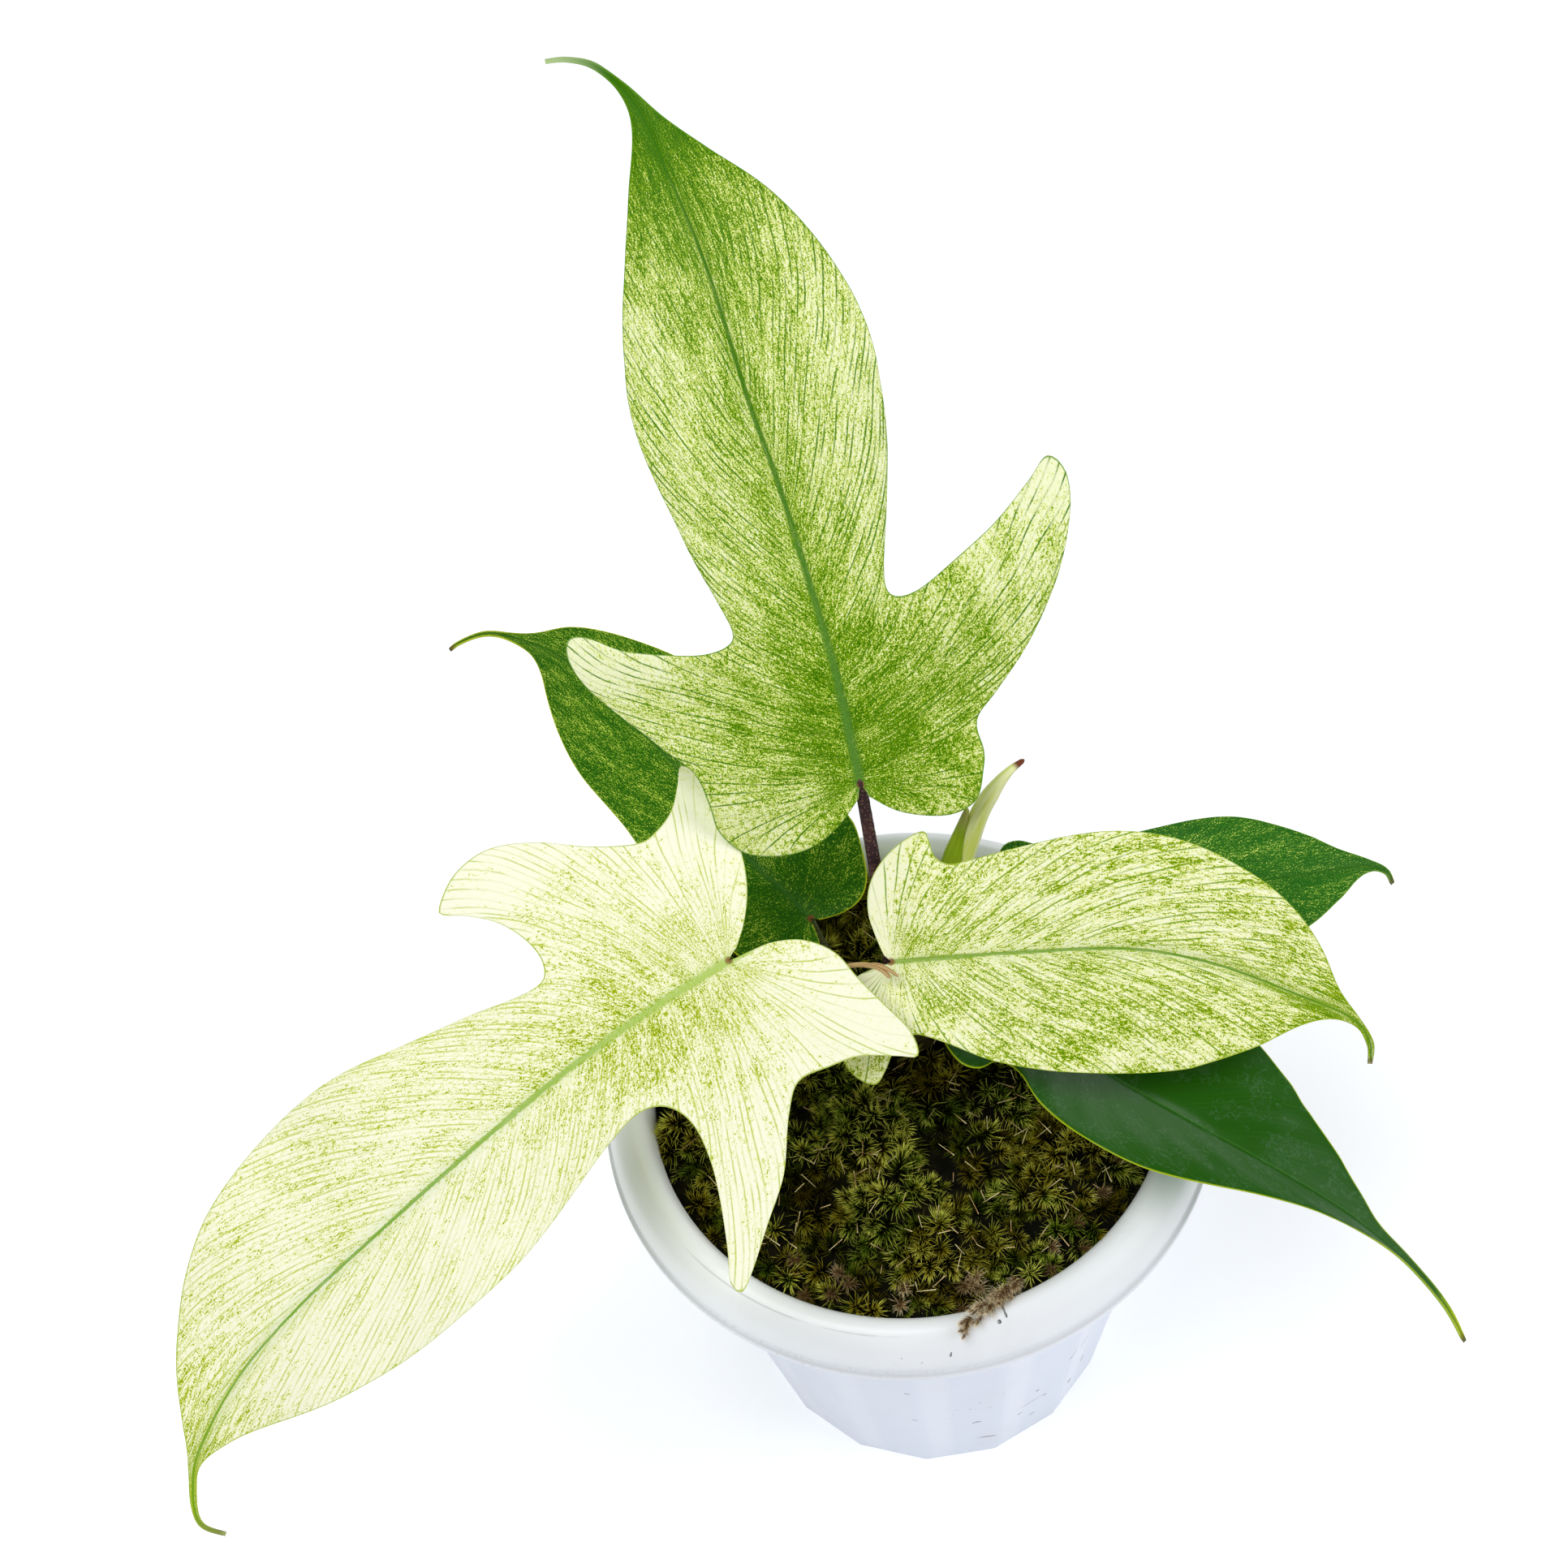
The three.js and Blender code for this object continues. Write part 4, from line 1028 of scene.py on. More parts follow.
def leaf_finish(name, look, length):
    leaf = LeafFinish(name, look)
    shade, along, out = leaf.shade, leaf.along, leaf.out
    lines = fine_veins(leaf)
    tint = leaf.mix(lines, flecked(leaf), shade["line"])
    so_far = along / length
    midrib = midrib_of(leaf, so_far)
    halo = leaf.from_rib.step(3, 0.5) * 0.15
    rib_colour = leaf.mix(so_far.step(0, 0.6), shade["rib_base"], shade["rib"])
    tint = leaf.mix((midrib * look["rib_share"]).larger(halo), tint, rib_colour)
    margin = leaf.number("edge").step(look["margin_width"], look["margin_width"] * 0.35)
    tint = leaf.mix(margin * 0.85, tint, shade["margin"])
    joint = (along * along + out * out).step(1.1, 0.2)
    tint = leaf.mix(joint * 0.8, tint, JOINT_COLOUR)
    tint = leaf.mix(along.step(length - look["tail"], length), tint, shade["tip"])
    if look["stains"]:
        dried = leaf.streaks(along * 0.12, out * 0.12, 31, 5, 0.65)
        film = (dried - 0.53).size().step(0.012, 0.001) + dried.step(0.56, 0.66) * 0.45
        tint = leaf.mix(film * look["stains"], tint, STAIN_COLOUR)
    tint = leaf.mix(leaf.number("under") * 0.6, tint, shade["under"])
    relief = leaf.fine * 0.12 - lines * 0.12 - midrib * 0.2 + leaf.bands * look["quilt"]
    return leaf.paint(tint, leaf.fine * 0.16 + (look["rough"] - 0.08), relief, LEAF_RELIEF)


# %% [markdown]
# The leaves differ mostly in how green they are and where. Each look has ten shades in the
# order of SHADES, its share of green, and patches that add green or take it away: a place
# along and out from the midrib, the patch's reach both ways, and the amount. What the cream
# leaves have in common is written once, and so is what the green ones have in common.

# %% Looks of the six leaves
BROWN_TIP = (96, 66, 40)
GREEN_RIB_BASE = (60, 112, 40)
LOW_END = leaves["low"].length
CREAM = {"rib_share": 0.95, "rib_tip": 0.22, "margin_width": 0.45, "lines": 1, "dashes": 2,
         "flecks": 1.5, "clouds": 0.3, "stains": 0, "tail": 3, "quilt": 0.3, "shine": 0.05,
         "rough": 0.42}
GREEN = {"rib_width": 0.35, "rib_share": 0.8, "rib_tip": 0.2, "lines": 0.25, "flecks": 2.2,
         "clouds": 0.5, "stains": 0, "tail": 3, "quilt": 0.3, "shine": 0.07, "rough": 0.38}
LOOKS = {
    "tall": CREAM | {
        "shades": [(247, 251, 208), (216, 229, 118), (126, 166, 12), (60, 114, 0), (78, 130, 8),
                   (100, 150, 30), (190, 210, 130), (88, 138, 50), (54, 114, 4), (176, 200, 140)],
        "rib_width": 0.75, "rib_tip": 0.3, "margin_width": 0.5, "dashes": 1.4, "streaks": 0.65,
        "clouds": 0.4, "tail": 16, "base": 0.4,
        "patches": [(12, 2, 26, 22, 0.3), (163, 0, 38, 40, 0.76), (70, 0, 60, 7, 0.12),
                    (44, 50, 18, 20, -0.4), (64, -54, 24, 24, -0.42), (-5, 20, 12, 16, -0.15),
                    (95, 18, 30, 8, -0.08), (8, -18, 18, 12, 0.1), (88, -22, 40, 8, -0.12)],
    },
    "front": CREAM | {
        "shades": [(254, 254, 228), (242, 245, 176), (172, 192, 6), (130, 158, 0),
                   (188, 206, 56), (170, 192, 40), (240, 244, 190), (182, 210, 104),
                   (112, 166, 24), (130, 140, 70)],
        "rib_width": 0.8, "lines": 0.8, "flecks": 1.6, "streaks": 1, "tail": 10, "rough": 0.45,
        "base": 0.11,
        "patches": [(20, 4, 30, 22, 0.33), (70, 0, 60, 8, 0.1), (155, 0, 22, 22, 0.5),
                    (90, -20, 50, 12, 0.1), (-12, 26, 16, 18, -0.3), (-12, -30, 16, 18, -0.25),
                    (40, 48, 12, 16, -0.2), (100, 14, 55, 12, -0.12), (30, -44, 20, 10, -0.3),
                    (20, 34, 12, 12, -0.15)],
    },
    "right": CREAM | {
        "shades": [(251, 253, 216), (240, 245, 160), (156, 182, 8), (92, 136, 0), (128, 164, 20),
                   (160, 186, 40), (236, 242, 180), (134, 172, 62), (92, 144, 20), BROWN_TIP],
        "rib_width": 0.35, "streaks": 1.2, "base": 0.3,
        "patches": [(6, 8, 10, 12, 0.2), (45, -14, 34, 14, 0.16), (100, 0, 20, 20, 0.4),
                    (-8, 20, 10, 22, -0.9), (-6, -4, 6, 8, -0.3), (50, 20, 40, 6, 0.08)],
    },
    "back": GREEN | {
        "shades": [(214, 224, 110), (156, 186, 56), (84, 136, 20), (38, 94, 12), (40, 98, 14),
                   (200, 210, 44), (110, 150, 70), GREEN_RIB_BASE, (46, 100, 22), BROWN_TIP],
        "margin_width": 0.55, "dashes": 1.8, "streaks": 0.9, "base": 0.76,
        "patches": [(8, 0, 18, 22, 0.15)],
    },
    "far": GREEN | {
        "shades": [(214, 224, 120), (150, 184, 70), (74, 130, 34), (38, 100, 26), (40, 98, 14),
                   (124, 164, 34), (110, 150, 70), GREEN_RIB_BASE, (42, 98, 20), BROWN_TIP],
        "margin_width": 0.4, "dashes": 1.6, "streaks": 0.8, "base": 0.82, "patches": [],
    },
    "low": GREEN | {
        "shades": [(200, 208, 30), (140, 172, 20), (38, 98, 2), (28, 84, 0), (48, 106, 20),
                   (180, 200, 30), (100, 146, 70), GREEN_RIB_BASE, (52, 108, 28), BROWN_TIP],
        "rib_width": 0.3, "margin_width": 0.6, "dashes": 0.3, "flecks": 0.5, "streaks": 0.6,
        "clouds": 0.3, "stains": 0.1, "quilt": 0.15, "shine": 0.17, "rough": 0.34, "base": 1.0,
        "patches": [(LOW_END, 0, 16, 20, -0.85)],
    },
}

# %% Blades
for name, leaf in leaves.items():
    material = leaf_finish(f"leaf_{name}_finish", LOOKS[name], leaf.length)
    blade = blade_piece(f"{name}_blade", leaf, LOOKS[name])
    dress(blade, material, LEAVES[name]["slot"], f"leaf_{name}_blade")

# %% [markdown]
# ## Petioles and other rods
# A petiole is the leaf's own stalk. It is round, a little thicker where it leaves the crown
# and rough with tiny brown scales. A rod that is shaped ring by ring gives all of them, and
# the new leaf and the sheaths too.

# %% Rods along a line
BLUNT_END = 0.35


def along_list(values, share):
    """The value a share of the way along a list of evenly spaced values."""
    place = share * (len(values) - 1)
    low = min(int(place), len(values) - 2)
    return values[low] + (values[low + 1] - values[low]) * (place - low)


def rod_piece(name, points, radii, rings, sides, section=None, flatness=1, pushed=None):
    """A rod with round ends; section changes its radius, and pushed moves a point away."""
    line = Line(points)

    def place(i, j):
        share = min(max((j - 1) / (rings - 2), 0), 1)
        radius = along_list(radii, share)
        from_end = min(share, 1 - share) * line.length / radius
        rounded = math.sqrt(1 - (1 - min(from_end, 1)) ** 2)
        if 0 < j < rings:
            rounded = max(rounded, BLUNT_END)
        angle = 2 * math.pi * (i % sides) / sides
        if section:
            radius *= section(angle, share)
        forward = line.heading(share)
        side = Vector((0, 1, 0)).cross(forward).normalized()
        up = forward.cross(side)
        spot = line.at(share) + side * math.cos(angle) * radius * rounded
        spot += up * math.sin(angle) * radius * rounded * flatness
        return pushed(spot) if pushed else spot

    maps = {"around": lambda i, j: (i / sides, j / rings * line.length)}
    return grid_piece(name, sides, rings, place, maps)


# %% Petiole finishes
STALKS = {
    "dark_petiole": [(74, 46, 46), (52, 34, 40), (110, 82, 74)],
    "brown_petiole": [(150, 128, 68), (112, 104, 48), (176, 152, 100)],
    "green_petiole": [(84, 96, 52), (70, 74, 44), (122, 118, 76)],
}


def stalk_finish(name, main, blotched, scaly):
    finish = Finish(name, {"Specular IOR Level": 0.15})
    place = finish.place()
    scales = finish.cells(place, 1400)
    blotch = finish.grain(place, 180, 3)
    base = finish.mix(blotch.step(0.35, 0.7), main, blotched)
    base = finish.mix(scales.step(0.45, 0.2), base, scaly)
    return finish.paint(base, blotch * 0.3 + 0.45, 1 - scales, 0.00025)


stalk_finishes = {slot: stalk_finish(f"{slot}_finish", *[colour(*shade) for shade in shades])
                  for slot, shades in STALKS.items()}

# %% Petioles
PETIOLE_REACH = 1.5
PETIOLE_DEPTH = 0.9
SCURF = 0.07
FLARE = 0.35
FLARE_LENGTH = 0.05


def scurfy(angle, share):
    """A rough skin: the radius of a petiole varies a little and flares at its foot."""
    spot = Vector((3 * math.cos(angle), 3 * math.sin(angle), share * 60))
    flare = FLARE * math.exp(-((share / FLARE_LENGTH) ** 2))
    return 1 + SCURF * noise.noise(spot) + flare


for name, leaf in leaves.items():
    data = LEAVES[name]
    tip, above = leaf.surface(PETIOLE_REACH, 0)
    points = [*data["petiole"], tuple(tip - above * PETIOLE_DEPTH)]
    petiole = rod_piece(f"{name}_petiole", points, data["radii"], 110, 24, scurfy)
    dress(petiole, stalk_finishes[data["stalk"]], data["stalk"], f"leaf_{name}_petiole")

# %% [markdown]
# ## The new leaf and the sheaths
# The next leaf is still rolled up like a cigar, with its outer edge lying over it in a long
# line. It comes out of a smooth olive sheath, which hugs its back. The strip of an older
# sheath has dried to tan paper and bends over at the foot of the leaves.

# %% Streaked finish for rolls and sheaths
def streaked_finish(name, shine, rough, relief, streaks, blend, shades, end):
    """Streaks of two shades along a rod, and a third shade from one height to another."""
    finish = Finish(name, {"Specular IOR Level": shine})
    around, up = finish.map("around")
    across, along, detail = streaks
    grain = finish.streaks(around * across, up * along, detail=detail)
    first, second, last = [colour(*shade) for shade in shades]
    base = finish.mix(grain.step(*blend), first, second)
    base = finish.mix(up.step(*end), base, last)
    return finish.paint(base, grain * 0.2 + rough, grain, relief)


# %% Rolled new leaf
NEW_LEAF_LINE = [(6.5, 20, 118), (13.4, 25, 134.5), (19.4, 29.5, 150.6), (23.3, 31.5, 161.6),
                 (26.7, 33, 167.5), (30.6, 34.5, 171.9), (34.4, 36, 173.5)]
NEW_LEAF_RADII = [2.2, 2.3, 2.4, 2.4, 2.3, 1.9, 0.5]
EDGE_ANGLE = math.radians(200)
EDGE_TWIST = 1.5
EDGE_STEP = 0.2
EDGE_SHARPNESS = 14


def rolled(angle, share):
    """One turn of a roll: the radius grows all the way round and drops back at the edge."""
    round_share = ((angle - EDGE_ANGLE - EDGE_TWIST * share) / (2 * math.pi)) % 1
    return 1 - EDGE_STEP / 2 + EDGE_STEP * min(round_share, (1 - round_share) * EDGE_SHARPNESS)


new_material = streaked_finish(
    "new_leaf_finish", shine=0.1, rough=0.35, relief=0.0001, streaks=(9, 0.06, 3),
    blend=(0.35, 0.65), shades=[(253, 255, 196), (232, 241, 124), (120, 66, 44)], end=(62, 63.5))
new_leaf = rod_piece("rolled_leaf", NEW_LEAF_LINE, NEW_LEAF_RADII, 120, 56, rolled)
dress(new_leaf, new_material, "new_leaf", "new_leaf")

# %% [markdown]
# The sheath mustn't cut into the rolled leaf. So each of its points that would lie inside is
# moved straight out from the middle line of the roll, to just beside it.

# %% Cataphyll
CATAPHYLL_LINE = [(4.6, 18.8, 118), (11.4, 24.6, 136), (16.7, 29, 150.8), (21.2, 31.7, 165.6)]
CATAPHYLL_RADII = [2.7, 2.7, 2.6, 2.1, 0.5]
ROOM = 0.12
PROBES = 80
new_leaf_line = Line(NEW_LEAF_LINE)
new_leaf_places = [new_leaf_line.at(i / PROBES) for i in range(PROBES + 1)]


def clear_of_new_leaf(spot):
    """Moves a point that lies in the rolled leaf out to just beside it."""
    nearest = min(range(PROBES + 1), key=lambda i: (new_leaf_places[i] - spot).length)
    share = nearest / PROBES
    needed = along_list(NEW_LEAF_RADII, share) * (1 + EDGE_STEP / 2) + ROOM
    forward = new_leaf_line.heading(share)
    away = spot - new_leaf_places[nearest]
    away -= forward * away.dot(forward)
    if away.length < needed:
        return spot + away.normalized() * (needed - away.length)
    return spot


cataphyll_material = streaked_finish(
    "cataphyll_finish", shine=0.15, rough=0.36, relief=0.00012, streaks=(14, 0.05, 2),
    blend=(0.3, 0.7), shades=[(132, 166, 20), (166, 192, 40), (176, 176, 96)], end=(44, 50))
cataphyll = rod_piece("olive_sheath", CATAPHYLL_LINE, CATAPHYLL_RADII, 90, 40,
                      pushed=clear_of_new_leaf)
dress(cataphyll, cataphyll_material, "cataphyll", "cataphyll")

# %% Dried sheath
DRIED_LINE = [(-1.2, 10.3, 119), (-6, 9.6, 132), (-11.3, 9.3, 144.5), (-10.5, 7, 151),
              (-6.8, 4.8, 154.5), (-3.9, 3.8, 154.5), (-2.1, 2.7, 154), (-0.8, 1.1, 153.3)]
DRIED_RADII = [1.2, 1, 0.9, 0.9, 0.9, 0.9, 0.6]
SPUR_LINE = [(-4.4, 4.1, 154.7), (-2.5, 3.6, 154.7), (-0.6, 2.2, 154.3), (0.9, 0.9, 153.6)]
SPUR_RADII = [0.5, 0.45, 0.4, 0.25]
HOLLOW = 0.28
WRINKLE = 0.12


def papery(angle, share):
    """Shrunken paper: a hollow along the strip and fine wrinkles."""
    hollow = HOLLOW * max(0, math.sin(angle)) ** 2
    wrinkle = noise.noise(Vector((2 * math.cos(angle), 2 * math.sin(angle), share * 14)))
    return 1 - hollow + WRINKLE * wrinkle


dried_material = streaked_finish(
    "dried_sheath_finish", shine=0.25, rough=0.65, relief=0.0002, streaks=(16, 0.12, 3),
    blend=(0.35, 0.65), shades=[(214, 184, 128), (166, 126, 78), (120, 78, 50)], end=(50, 54))
dried = rod_piece("dried_strip", DRIED_LINE, DRIED_RADII, 110, 24, papery, 0.5)
spur = rod_piece("dried_spur", SPUR_LINE, SPUR_RADII, 40, 14)
for piece in (dried, spur):
    dress(piece, dried_material, "dried_sheath", "dried_sheath")

# %% [markdown]
# ## The crown
# All petioles grow from one short thick stem. It is ringed with the scars of fallen leaves
# and has a fibrous green-brown skin. The moss hides most of it.

# %% Crown
CROWN_CENTRE = (2.5, 16)
CROWN_PROFILE = [(6, 90), (7.4, 100), (8.2, 110), (8, 116), (6.8, 120.5), (4, 123.5)]
CROWN_TOP = 124.5
CROWN_STEPS = 48
CROWN_RINGS = 60
SCAR_SPACING = 4.2
SCAR_HEIGHT = 0.25
SKIN_ROUGHNESS = 0.05

crown_line = Line([(radius, height, 0) for radius, height in CROWN_PROFILE])
crown_profile = [(0, CROWN_PROFILE[0][1])]
for i in range(CROWN_RINGS + 1):
    radius, height = crown_line.at(i / CROWN_RINGS).xy
    scar = SCAR_HEIGHT * math.sin(height * 2 * math.pi / SCAR_SPACING)
    crown_profile.append((radius + scar, height))
crown_profile.append((0, CROWN_TOP))
crown_shape = turn(crown_profile, CROWN_STEPS)
for vert in crown_shape.verts:
    rough_skin = 1 + SKIN_ROUGHNESS * noise.noise(vert.co * 400)
    vert.co.x = vert.co.x * rough_skin + CROWN_CENTRE[0] * MM
    vert.co.y = vert.co.y * rough_skin + CROWN_CENTRE[1] * MM
crown = finished("crown_stem", crown_shape)

# %% Crown finish
crown_finish = Finish("crown_finish", {"Specular IOR Level": 0.3})
crown_x, crown_y, crown_z = crown_finish.parts(crown_finish.place())
fibre = crown_finish.streaks(crown_x * 900, crown_y * 900, crown_z * 160, 3)
rings = (crown_z * (2 * math.pi / SCAR_SPACING / MM)).sine()
crown_base = crown_finish.mix(fibre, colour(106, 100, 54), colour(70, 58, 34))
crown_base = crown_finish.mix(rings.step(0.5, 1) * 0.6, crown_base, colour(140, 122, 82))
dress(crown, crown_finish.paint(crown_base, fibre * 0.3 + 0.5, fibre, 0.0003),
      "crown_stem", "crown")

# %% [markdown]
# ## The potting mix
# Only a little of it could ever be seen, through the slots and between moss shoots. Its
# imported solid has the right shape, so it stays and gets a finish of bark chips and peat.

# %% Potting mix finish
mix_finish = Finish("potting_mix_finish", {"Specular IOR Level": 0.2})
mix_place = mix_finish.place()
chips = mix_finish.cells(mix_place, 260, output="Color")
chip_edge = mix_finish.cells(mix_place, 260)
peat = mix_finish.grain(mix_place, 500, 4)
chip_tone = mix_finish.parts(chips)[0]
mix_base = mix_finish.mix(chip_tone, colour(52, 36, 26), colour(104, 76, 52))
mix_base = mix_finish.mix(chip_edge.step(0.3, 0.6), mix_base, colour(26, 20, 16))
soil_material = mix_finish.paint(mix_base, peat * 0.2 + 0.75, peat - chip_edge, 0.0008)
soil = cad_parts["soil"]
soil.data.materials.clear()
soil.data.materials.append(soil_material)
print("potting mix keeps its packed shape")

# %% [markdown]
# ## The moss
# The carpet is a cushion moss. Seen from above, each shoot is a small star of pointed
# leaves, dark in the middle and pale at the tips, and the shoots stand so close that only
# dark gaps show between them. The dark middles and gaps are partly the moss's own colour and
# partly painted shade, and the pale tips are partly painted highlight. A dozen shoots are
# modelled and set down nearly eight hundred times by a seeded random rule, each turned,
# leaned and sized in its own way. A needle has only four faces, so the whole carpet stays
# light. Under them lies a rough carpet painted near-black as the shade in the gaps, in the
# dome and the low cushions that the imported model has.

# %% Moss carpet
MOSS_RADIUS = 55.8
MOSS_EDGE_HEIGHT = 108.4
MOSS_BOTTOM = 104.6
MOSS_MIDDLE_BOTTOM = 107.3
MOSS_DOME = 3
CUSHION_CENTRE = (-13, -13)
CUSHION_RADIUS = 15
CUSHION_HEIGHT = 1.8
CLUMP = 16
CLUMP_EDGE = 2.4
CARPET_RINGS = 60
CARPET_SIDES = 180
CARPET_DEPTH = 1.6


def clump(x, y):
    """How deep a place lies in its clump, from 0 to 1, the way from its middle, the middle."""
    spot = Vector((x, y, 0)) / CLUMP
    distances, middles = noise.voronoi(spot)
    return min((distances[1] - distances[0]) * CLUMP_EDGE, 1), spot - middles[0], middles[0]


def round_middle(radius, angle):
    return radius * math.cos(angle), radius * math.sin(angle)


def moss_height(x, y):
    """The height of the carpet between its shoots."""
    share = math.hypot(x, y) / MOSS_RADIUS
    from_cushion = math.hypot(x - CUSHION_CENTRE[0], y - CUSHION_CENTRE[1])
    cushion = CUSHION_HEIGHT * max(0, 1 - (from_cushion / CUSHION_RADIUS) ** 2)
    return MOSS_EDGE_HEIGHT + MOSS_DOME * max(0, 1 - share ** 2) + cushion


def carpet_place(i, j):
    """From the middle of the upper side out to the edge, and back in along the under side."""
    if j > CARPET_RINGS + 1:
        return 0, 0, MOSS_MIDDLE_BOTTOM
    angle = 2 * math.pi * (i % CARPET_SIDES) / CARPET_SIDES
    radius = MOSS_RADIUS * min(j / CARPET_RINGS, 1)
    x, y = round_middle(radius, angle)
    if j > CARPET_RINGS:
        return x, y, MOSS_BOTTOM
    rough = noise.noise(Vector((x, y, 0)) / 2.4) * 1.1 + noise.noise(Vector((x, y, 9))) * 0.5
    smooth_rim = min(1, (MOSS_RADIUS - radius) / 3)
    return x, y, moss_height(x, y) - CARPET_DEPTH + rough * smooth_rim


carpet = grid_piece("moss_carpet", CARPET_SIDES, CARPET_RINGS + 2, carpet_place)

# %% [markdown]
# A needle is dark at its root and pale at its tip, partly in its own colour and partly as
# painted shade at the root and painted highlight at the tip. Its mesh says how far along each
# point lies, and each shoot has a tone of its own, which sets how old and pale it looks and,
# where it is low, paints the shoot dark as shade.

# %% Moss finishes
def moss_finish(name, *shades):
    """The shades are those of the dark root, which also stands for painted shade, of fresh and of
    old needles, and of pale tips, which are partly painted highlight.
    """
    root_and_shade_colour, fresh, old, pale = [colour(*shade) for shade in shades]
    finish = Finish(name, {"Specular IOR Level": 0.03})
    patches = finish.grain(finish.place(), 75, 2)
    along = finish.number("along")
    tone_and_shade = finish.number("tone_and_shade")
    leafy = finish.mix(patches.step(0.42, 0.6), fresh, old)
    # Pale tips: partly the moss's own colour, partly painted highlight where the tips catch the
    # light.
    tipped_and_lit = finish.mix((along * (tone_and_shade + 0.5)).step(0.25, 0.9), leafy, pale)
    # Dark roots, and dark shoots where the tone is low: partly the moss's own colour, partly
    # painted shade.
    rooted_and_shaded = finish.mix(along.step(0.15, 0.8) * tone_and_shade.step(-0.4, 0.5), root_and_shade_colour, tipped_and_lit)
    return finish.paint(rooted_and_shaded, along * 0.1 + 0.5)


living = moss_finish("living_moss", (14, 16, 3), (108, 152, 0), (190, 168, 10), (244, 246, 108))
dead = moss_finish("dry_moss", (110, 84, 50), (200, 164, 112), (224, 192, 140), (255, 240, 200))
litter_finish = Finish("litter", {"Specular IOR Level": 0.2})
litter_tone = litter_finish.grain(litter_finish.place(), 300, 2)
litter_base = litter_finish.mix(litter_tone.step(0.35, 0.65), colour(240, 224, 170),
                                colour(176, 136, 84))
litter_material = litter_finish.paint(litter_base, litter_tone * 0.2 + 0.5)
carpet_finish = Finish("moss_carpet_shade_finish", {"Specular IOR Level": 0.1})
shade = carpet_finish.grain(carpet_finish.place(), 300, 4)
# Painted shade: the carpet is near-black, standing for the shade in the gaps between the shoots.
carpet_shade = carpet_finish.mix(shade.step(0.4, 0.7), colour(9, 9, 3), colour(30, 27, 10))
dress(carpet, carpet_finish.paint(carpet_shade, 0.9, shade, 0.001), "moss", "moss")

# %% [markdown]
# One shoot is a short stem with needles all the way up, each turned on from the last by the
# golden angle, as on the real plant. The lowest needles lie flat and the top ones stand up.

# %% One moss shoot
NEEDLES = 54
NEEDLE_LENGTH = 4
NEEDLE_RADIUS = 0.18
NEEDLE_FLATNESS = 0.6
FLAT_LEAN = 62
LEAN_RANGE = 52
STEM_HEIGHT = 4.5
GOLDEN_TURN = math.pi * (3 - math.sqrt(5))


def shoot_mesh(name, rng):
    """One shoot: needles all the way up a short stem, flat at its foot and steep at its top."""
    shape = bmesh.new()
    along = shape.verts.layers.float.new("along")
    shape.verts.layers.float.new("tone_and_shade")
    for i in range(NEEDLES):
        share = (i + 0.5) / NEEDLES
        lean = math.radians(FLAT_LEAN - LEAN_RANGE * share ** 1.3 + rng.uniform(-10, 10))
        turned_way = i * GOLDEN_TURN + rng.uniform(-0.3, 0.3)
        length = NEEDLE_LENGTH * (1 - 0.4 * share) * rng.uniform(0.8, 1.2)
        way = Matrix.Rotation(turned_way, 4, "Z") @ Matrix.Rotation(lean, 4, "Y")
        raised = Matrix.Translation((0, 0, share * STEM_HEIGHT * MM)) @ way
        sized = raised @ Matrix.Diagonal((NEEDLE_FLATNESS * MM, MM, MM, 1))
        made = bmesh.ops.create_cone(shape, cap_ends=True, segments=3, radius1=NEEDLE_RADIUS,
                                     radius2=0, depth=length,
                                     matrix=sized @ Matrix.Translation((0, 0, length / 2)))
        for vert in made["verts"]:
            vert[along] = (sized.inverted() @ vert.co).z / length
    return mesh_of(name, shape)


# %% Many shoots in one mesh
def scatter(name, shoots, places, rng):
    """Copies of the shoots: each has a place, the way and angle it leans, a size, and a tone that
    also carries painted shade.
    """
    shape = bmesh.new()
    for place, lean_way, lean, size, tone_and_shade in places:
        shoot = rng.choice(shoots).copy()
        spun = Matrix.Rotation(rng.uniform(0, 2 * math.pi), 4, "Z")
        leaned = Matrix.Rotation(lean, 4, Vector((-math.sin(lean_way), math.cos(lean_way), 0)))
        shoot.transform(Matrix.Translation(Vector(place) * MM) @ leaned @ spun
                        @ Matrix.Scale(size, 4))
        shoot.attributes["tone_and_shade"].data.foreach_set("value", [tone_and_shade] * len(shoot.vertices))
        shape.from_mesh(shoot)
        bpy.data.meshes.remove(shoot)
    return show(name, mesh_of(name, shape))


# %% [markdown]
# Real moss grows in clumps with dark gaps between them, and each clump domes up and leans its
# outer shoots outward. So the places come from a grid of triangles, a little shaken, and a
# cell pattern says how high, how steep, how big and how pale a shoot is, or leaves it out.

# %% Planting the moss
SHOOT_KINDS = 12
SHOOT_SPACING = 3.3
SHOOT_SHAKE = 0.9
SHOOT_DEPTH = 3.4
RIM_CLEARANCE = 1.6
STEM_CLEARANCE = 9.4
CLUMP_HEIGHT = 3.6
CLUMP_LEAN = 1.7
GAP_SHARE = 0.12

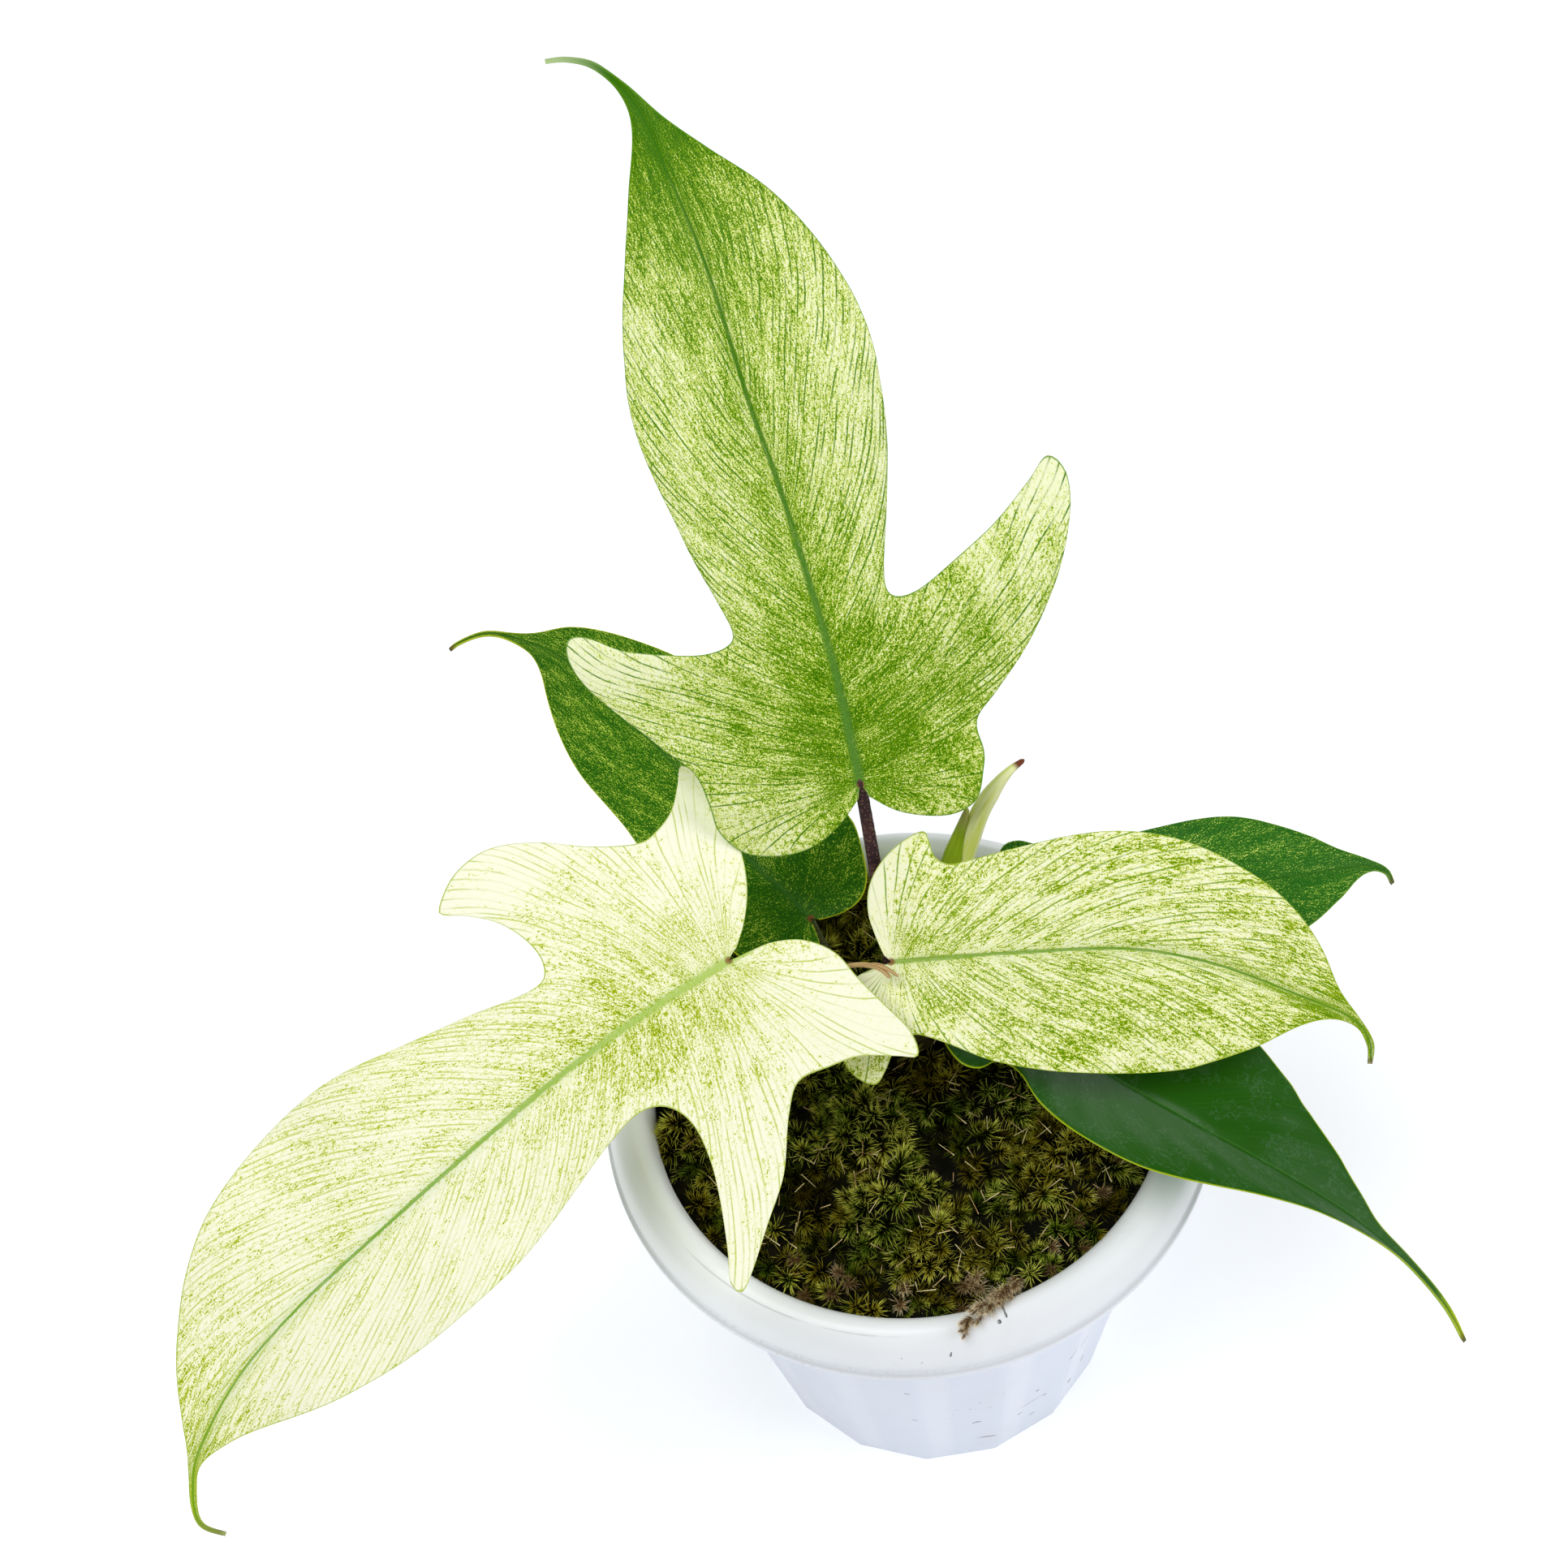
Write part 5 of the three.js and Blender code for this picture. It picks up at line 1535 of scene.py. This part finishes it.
rng = random.Random(11)
shoots = [shoot_mesh(f"shoot_{i}", rng) for i in range(SHOOT_KINDS)]
places = []
row_height = SHOOT_SPACING * math.sqrt(3) / 2
half_rows = math.ceil(MOSS_RADIUS / row_height)
for row in range(-half_rows, half_rows + 1):
    for column in range(-half_rows, half_rows + 1):
        x = (column + 0.5 * (row % 2)) * SHOOT_SPACING + rng.uniform(-SHOOT_SHAKE, SHOOT_SHAKE)
        y = row * row_height + rng.uniform(-SHOOT_SHAKE, SHOOT_SHAKE)
        radius = math.hypot(x, y)
        from_stem = math.hypot(x - CROWN_CENTRE[0], y - CROWN_CENTRE[1])
        inside, away, middle = clump(x, y)
        near_rim = radius > MOSS_RADIUS - RIM_CLEARANCE
        if near_rim or from_stem < STEM_CLEARANCE or inside < GAP_SHARE:
            continue
        height = moss_height(x, y) - SHOOT_DEPTH + CLUMP_HEIGHT * inside + rng.uniform(-0.6, 0.6)
        outward = Vector((x, y)) / radius * (0.1 + 0.25 * (radius / MOSS_RADIUS) ** 4)
        lean = outward + away.xy * CLUMP_LEAN
        lean += Vector((rng.uniform(-0.4, 0.3), rng.uniform(-0.7, 0)))
        # A shoot's tone is partly its own age and partly painted shade: shoots at a clump's edge
        # get a low tone, which paints them dark.
        tone_and_shade = 0.5 * inside - 0.1 + 0.5 * noise.noise(middle * 7.3) + rng.uniform(-0.25, 0.35)
        size = rng.uniform(0.8, 1.3) * (0.8 + 0.35 * inside)
        places.append(((x, y, height), math.atan2(lean.y, lean.x), lean.length, size, tone_and_shade))
print("moss shoots", len(places))
half = len(places) // 2
for name, part in (("moss_back", places[half:]), ("moss_front", places[:half])):
    dress(scatter(name, shoots, part, rng), living, "moss", "moss")

# %% [markdown]
# A few shoots have died. Most of them stand in ones and twos along the rim, and one dead
# sprig hangs over the front of it. Loose dry needles lie on top of the moss everywhere.

# %% Dry shoots
SPRIG_LINE = Line([(15, -51.5, 114), (12.4, -55.2, 117.6), (9, -57.7, 118.2), (5.4, -59.7, 118),
                   (2.8, -62.3, 116.6)])
SPRIG_SHOOTS = 30
DRY_SHOOTS = 26

dry_places = []
for i in range(SPRIG_SHOOTS):
    spot = SPRIG_LINE.at(i / SPRIG_SHOOTS)
    way = SPRIG_LINE.heading(i / SPRIG_SHOOTS)
    spot += Vector([rng.uniform(-0.8, 0.8) for _ in range(3)])
    dry_places.append((tuple(spot), math.atan2(way.y, way.x) + rng.uniform(-0.5, 0.5),
                       rng.uniform(1, 1.5), rng.uniform(0.35, 0.75), rng.uniform(0.2, 1)))
for i in range(DRY_SHOOTS):
    angle = rng.uniform(-2.6, 0.3)
    x, y = round_middle(MOSS_RADIUS - rng.uniform(1.2, 9), angle)
    dry_places.append(((x, y, moss_height(x, y) + 0.4), angle, rng.uniform(0.2, 0.8), 0.8,
                       rng.uniform(-0.2, 0.4)))
dress(scatter("dry_shoots", shoots, dry_places, rng), dead, "moss", "moss")
for shoot in shoots:
    bpy.data.meshes.remove(shoot)

# %% Loose needles
LITTER = 280
LITTER_MARGIN = 4
LITTER_RADII = (0.13, 0.05)
LITTER_HEIGHT = 2.6
LITTER_RISE = 2.8

litter_shape = bmesh.new()
for i in range(LITTER):
    angle = rng.uniform(0, 2 * math.pi)
    x, y = round_middle((MOSS_RADIUS - LITTER_MARGIN) * math.sqrt(rng.random()), angle)
    height = moss_height(x, y) + LITTER_HEIGHT + LITTER_RISE * clump(x, y)[0]
    turned_way = Matrix.Rotation(rng.uniform(0, 2 * math.pi), 4, "Z")
    laid = turned_way @ Matrix.Rotation(math.radians(rng.uniform(70, 100)), 4, "Y")
    moved = Matrix.Translation(Vector((x, y, height)) * MM)
    bmesh.ops.create_cone(litter_shape, cap_ends=True, segments=3, radius1=LITTER_RADII[0],
                          radius2=LITTER_RADII[1], depth=rng.uniform(1.8, 4.6),
                          matrix=moved @ laid @ Matrix.Scale(MM, 4))
dress(finished("loose_needles", litter_shape), litter_material, "moss", "moss")
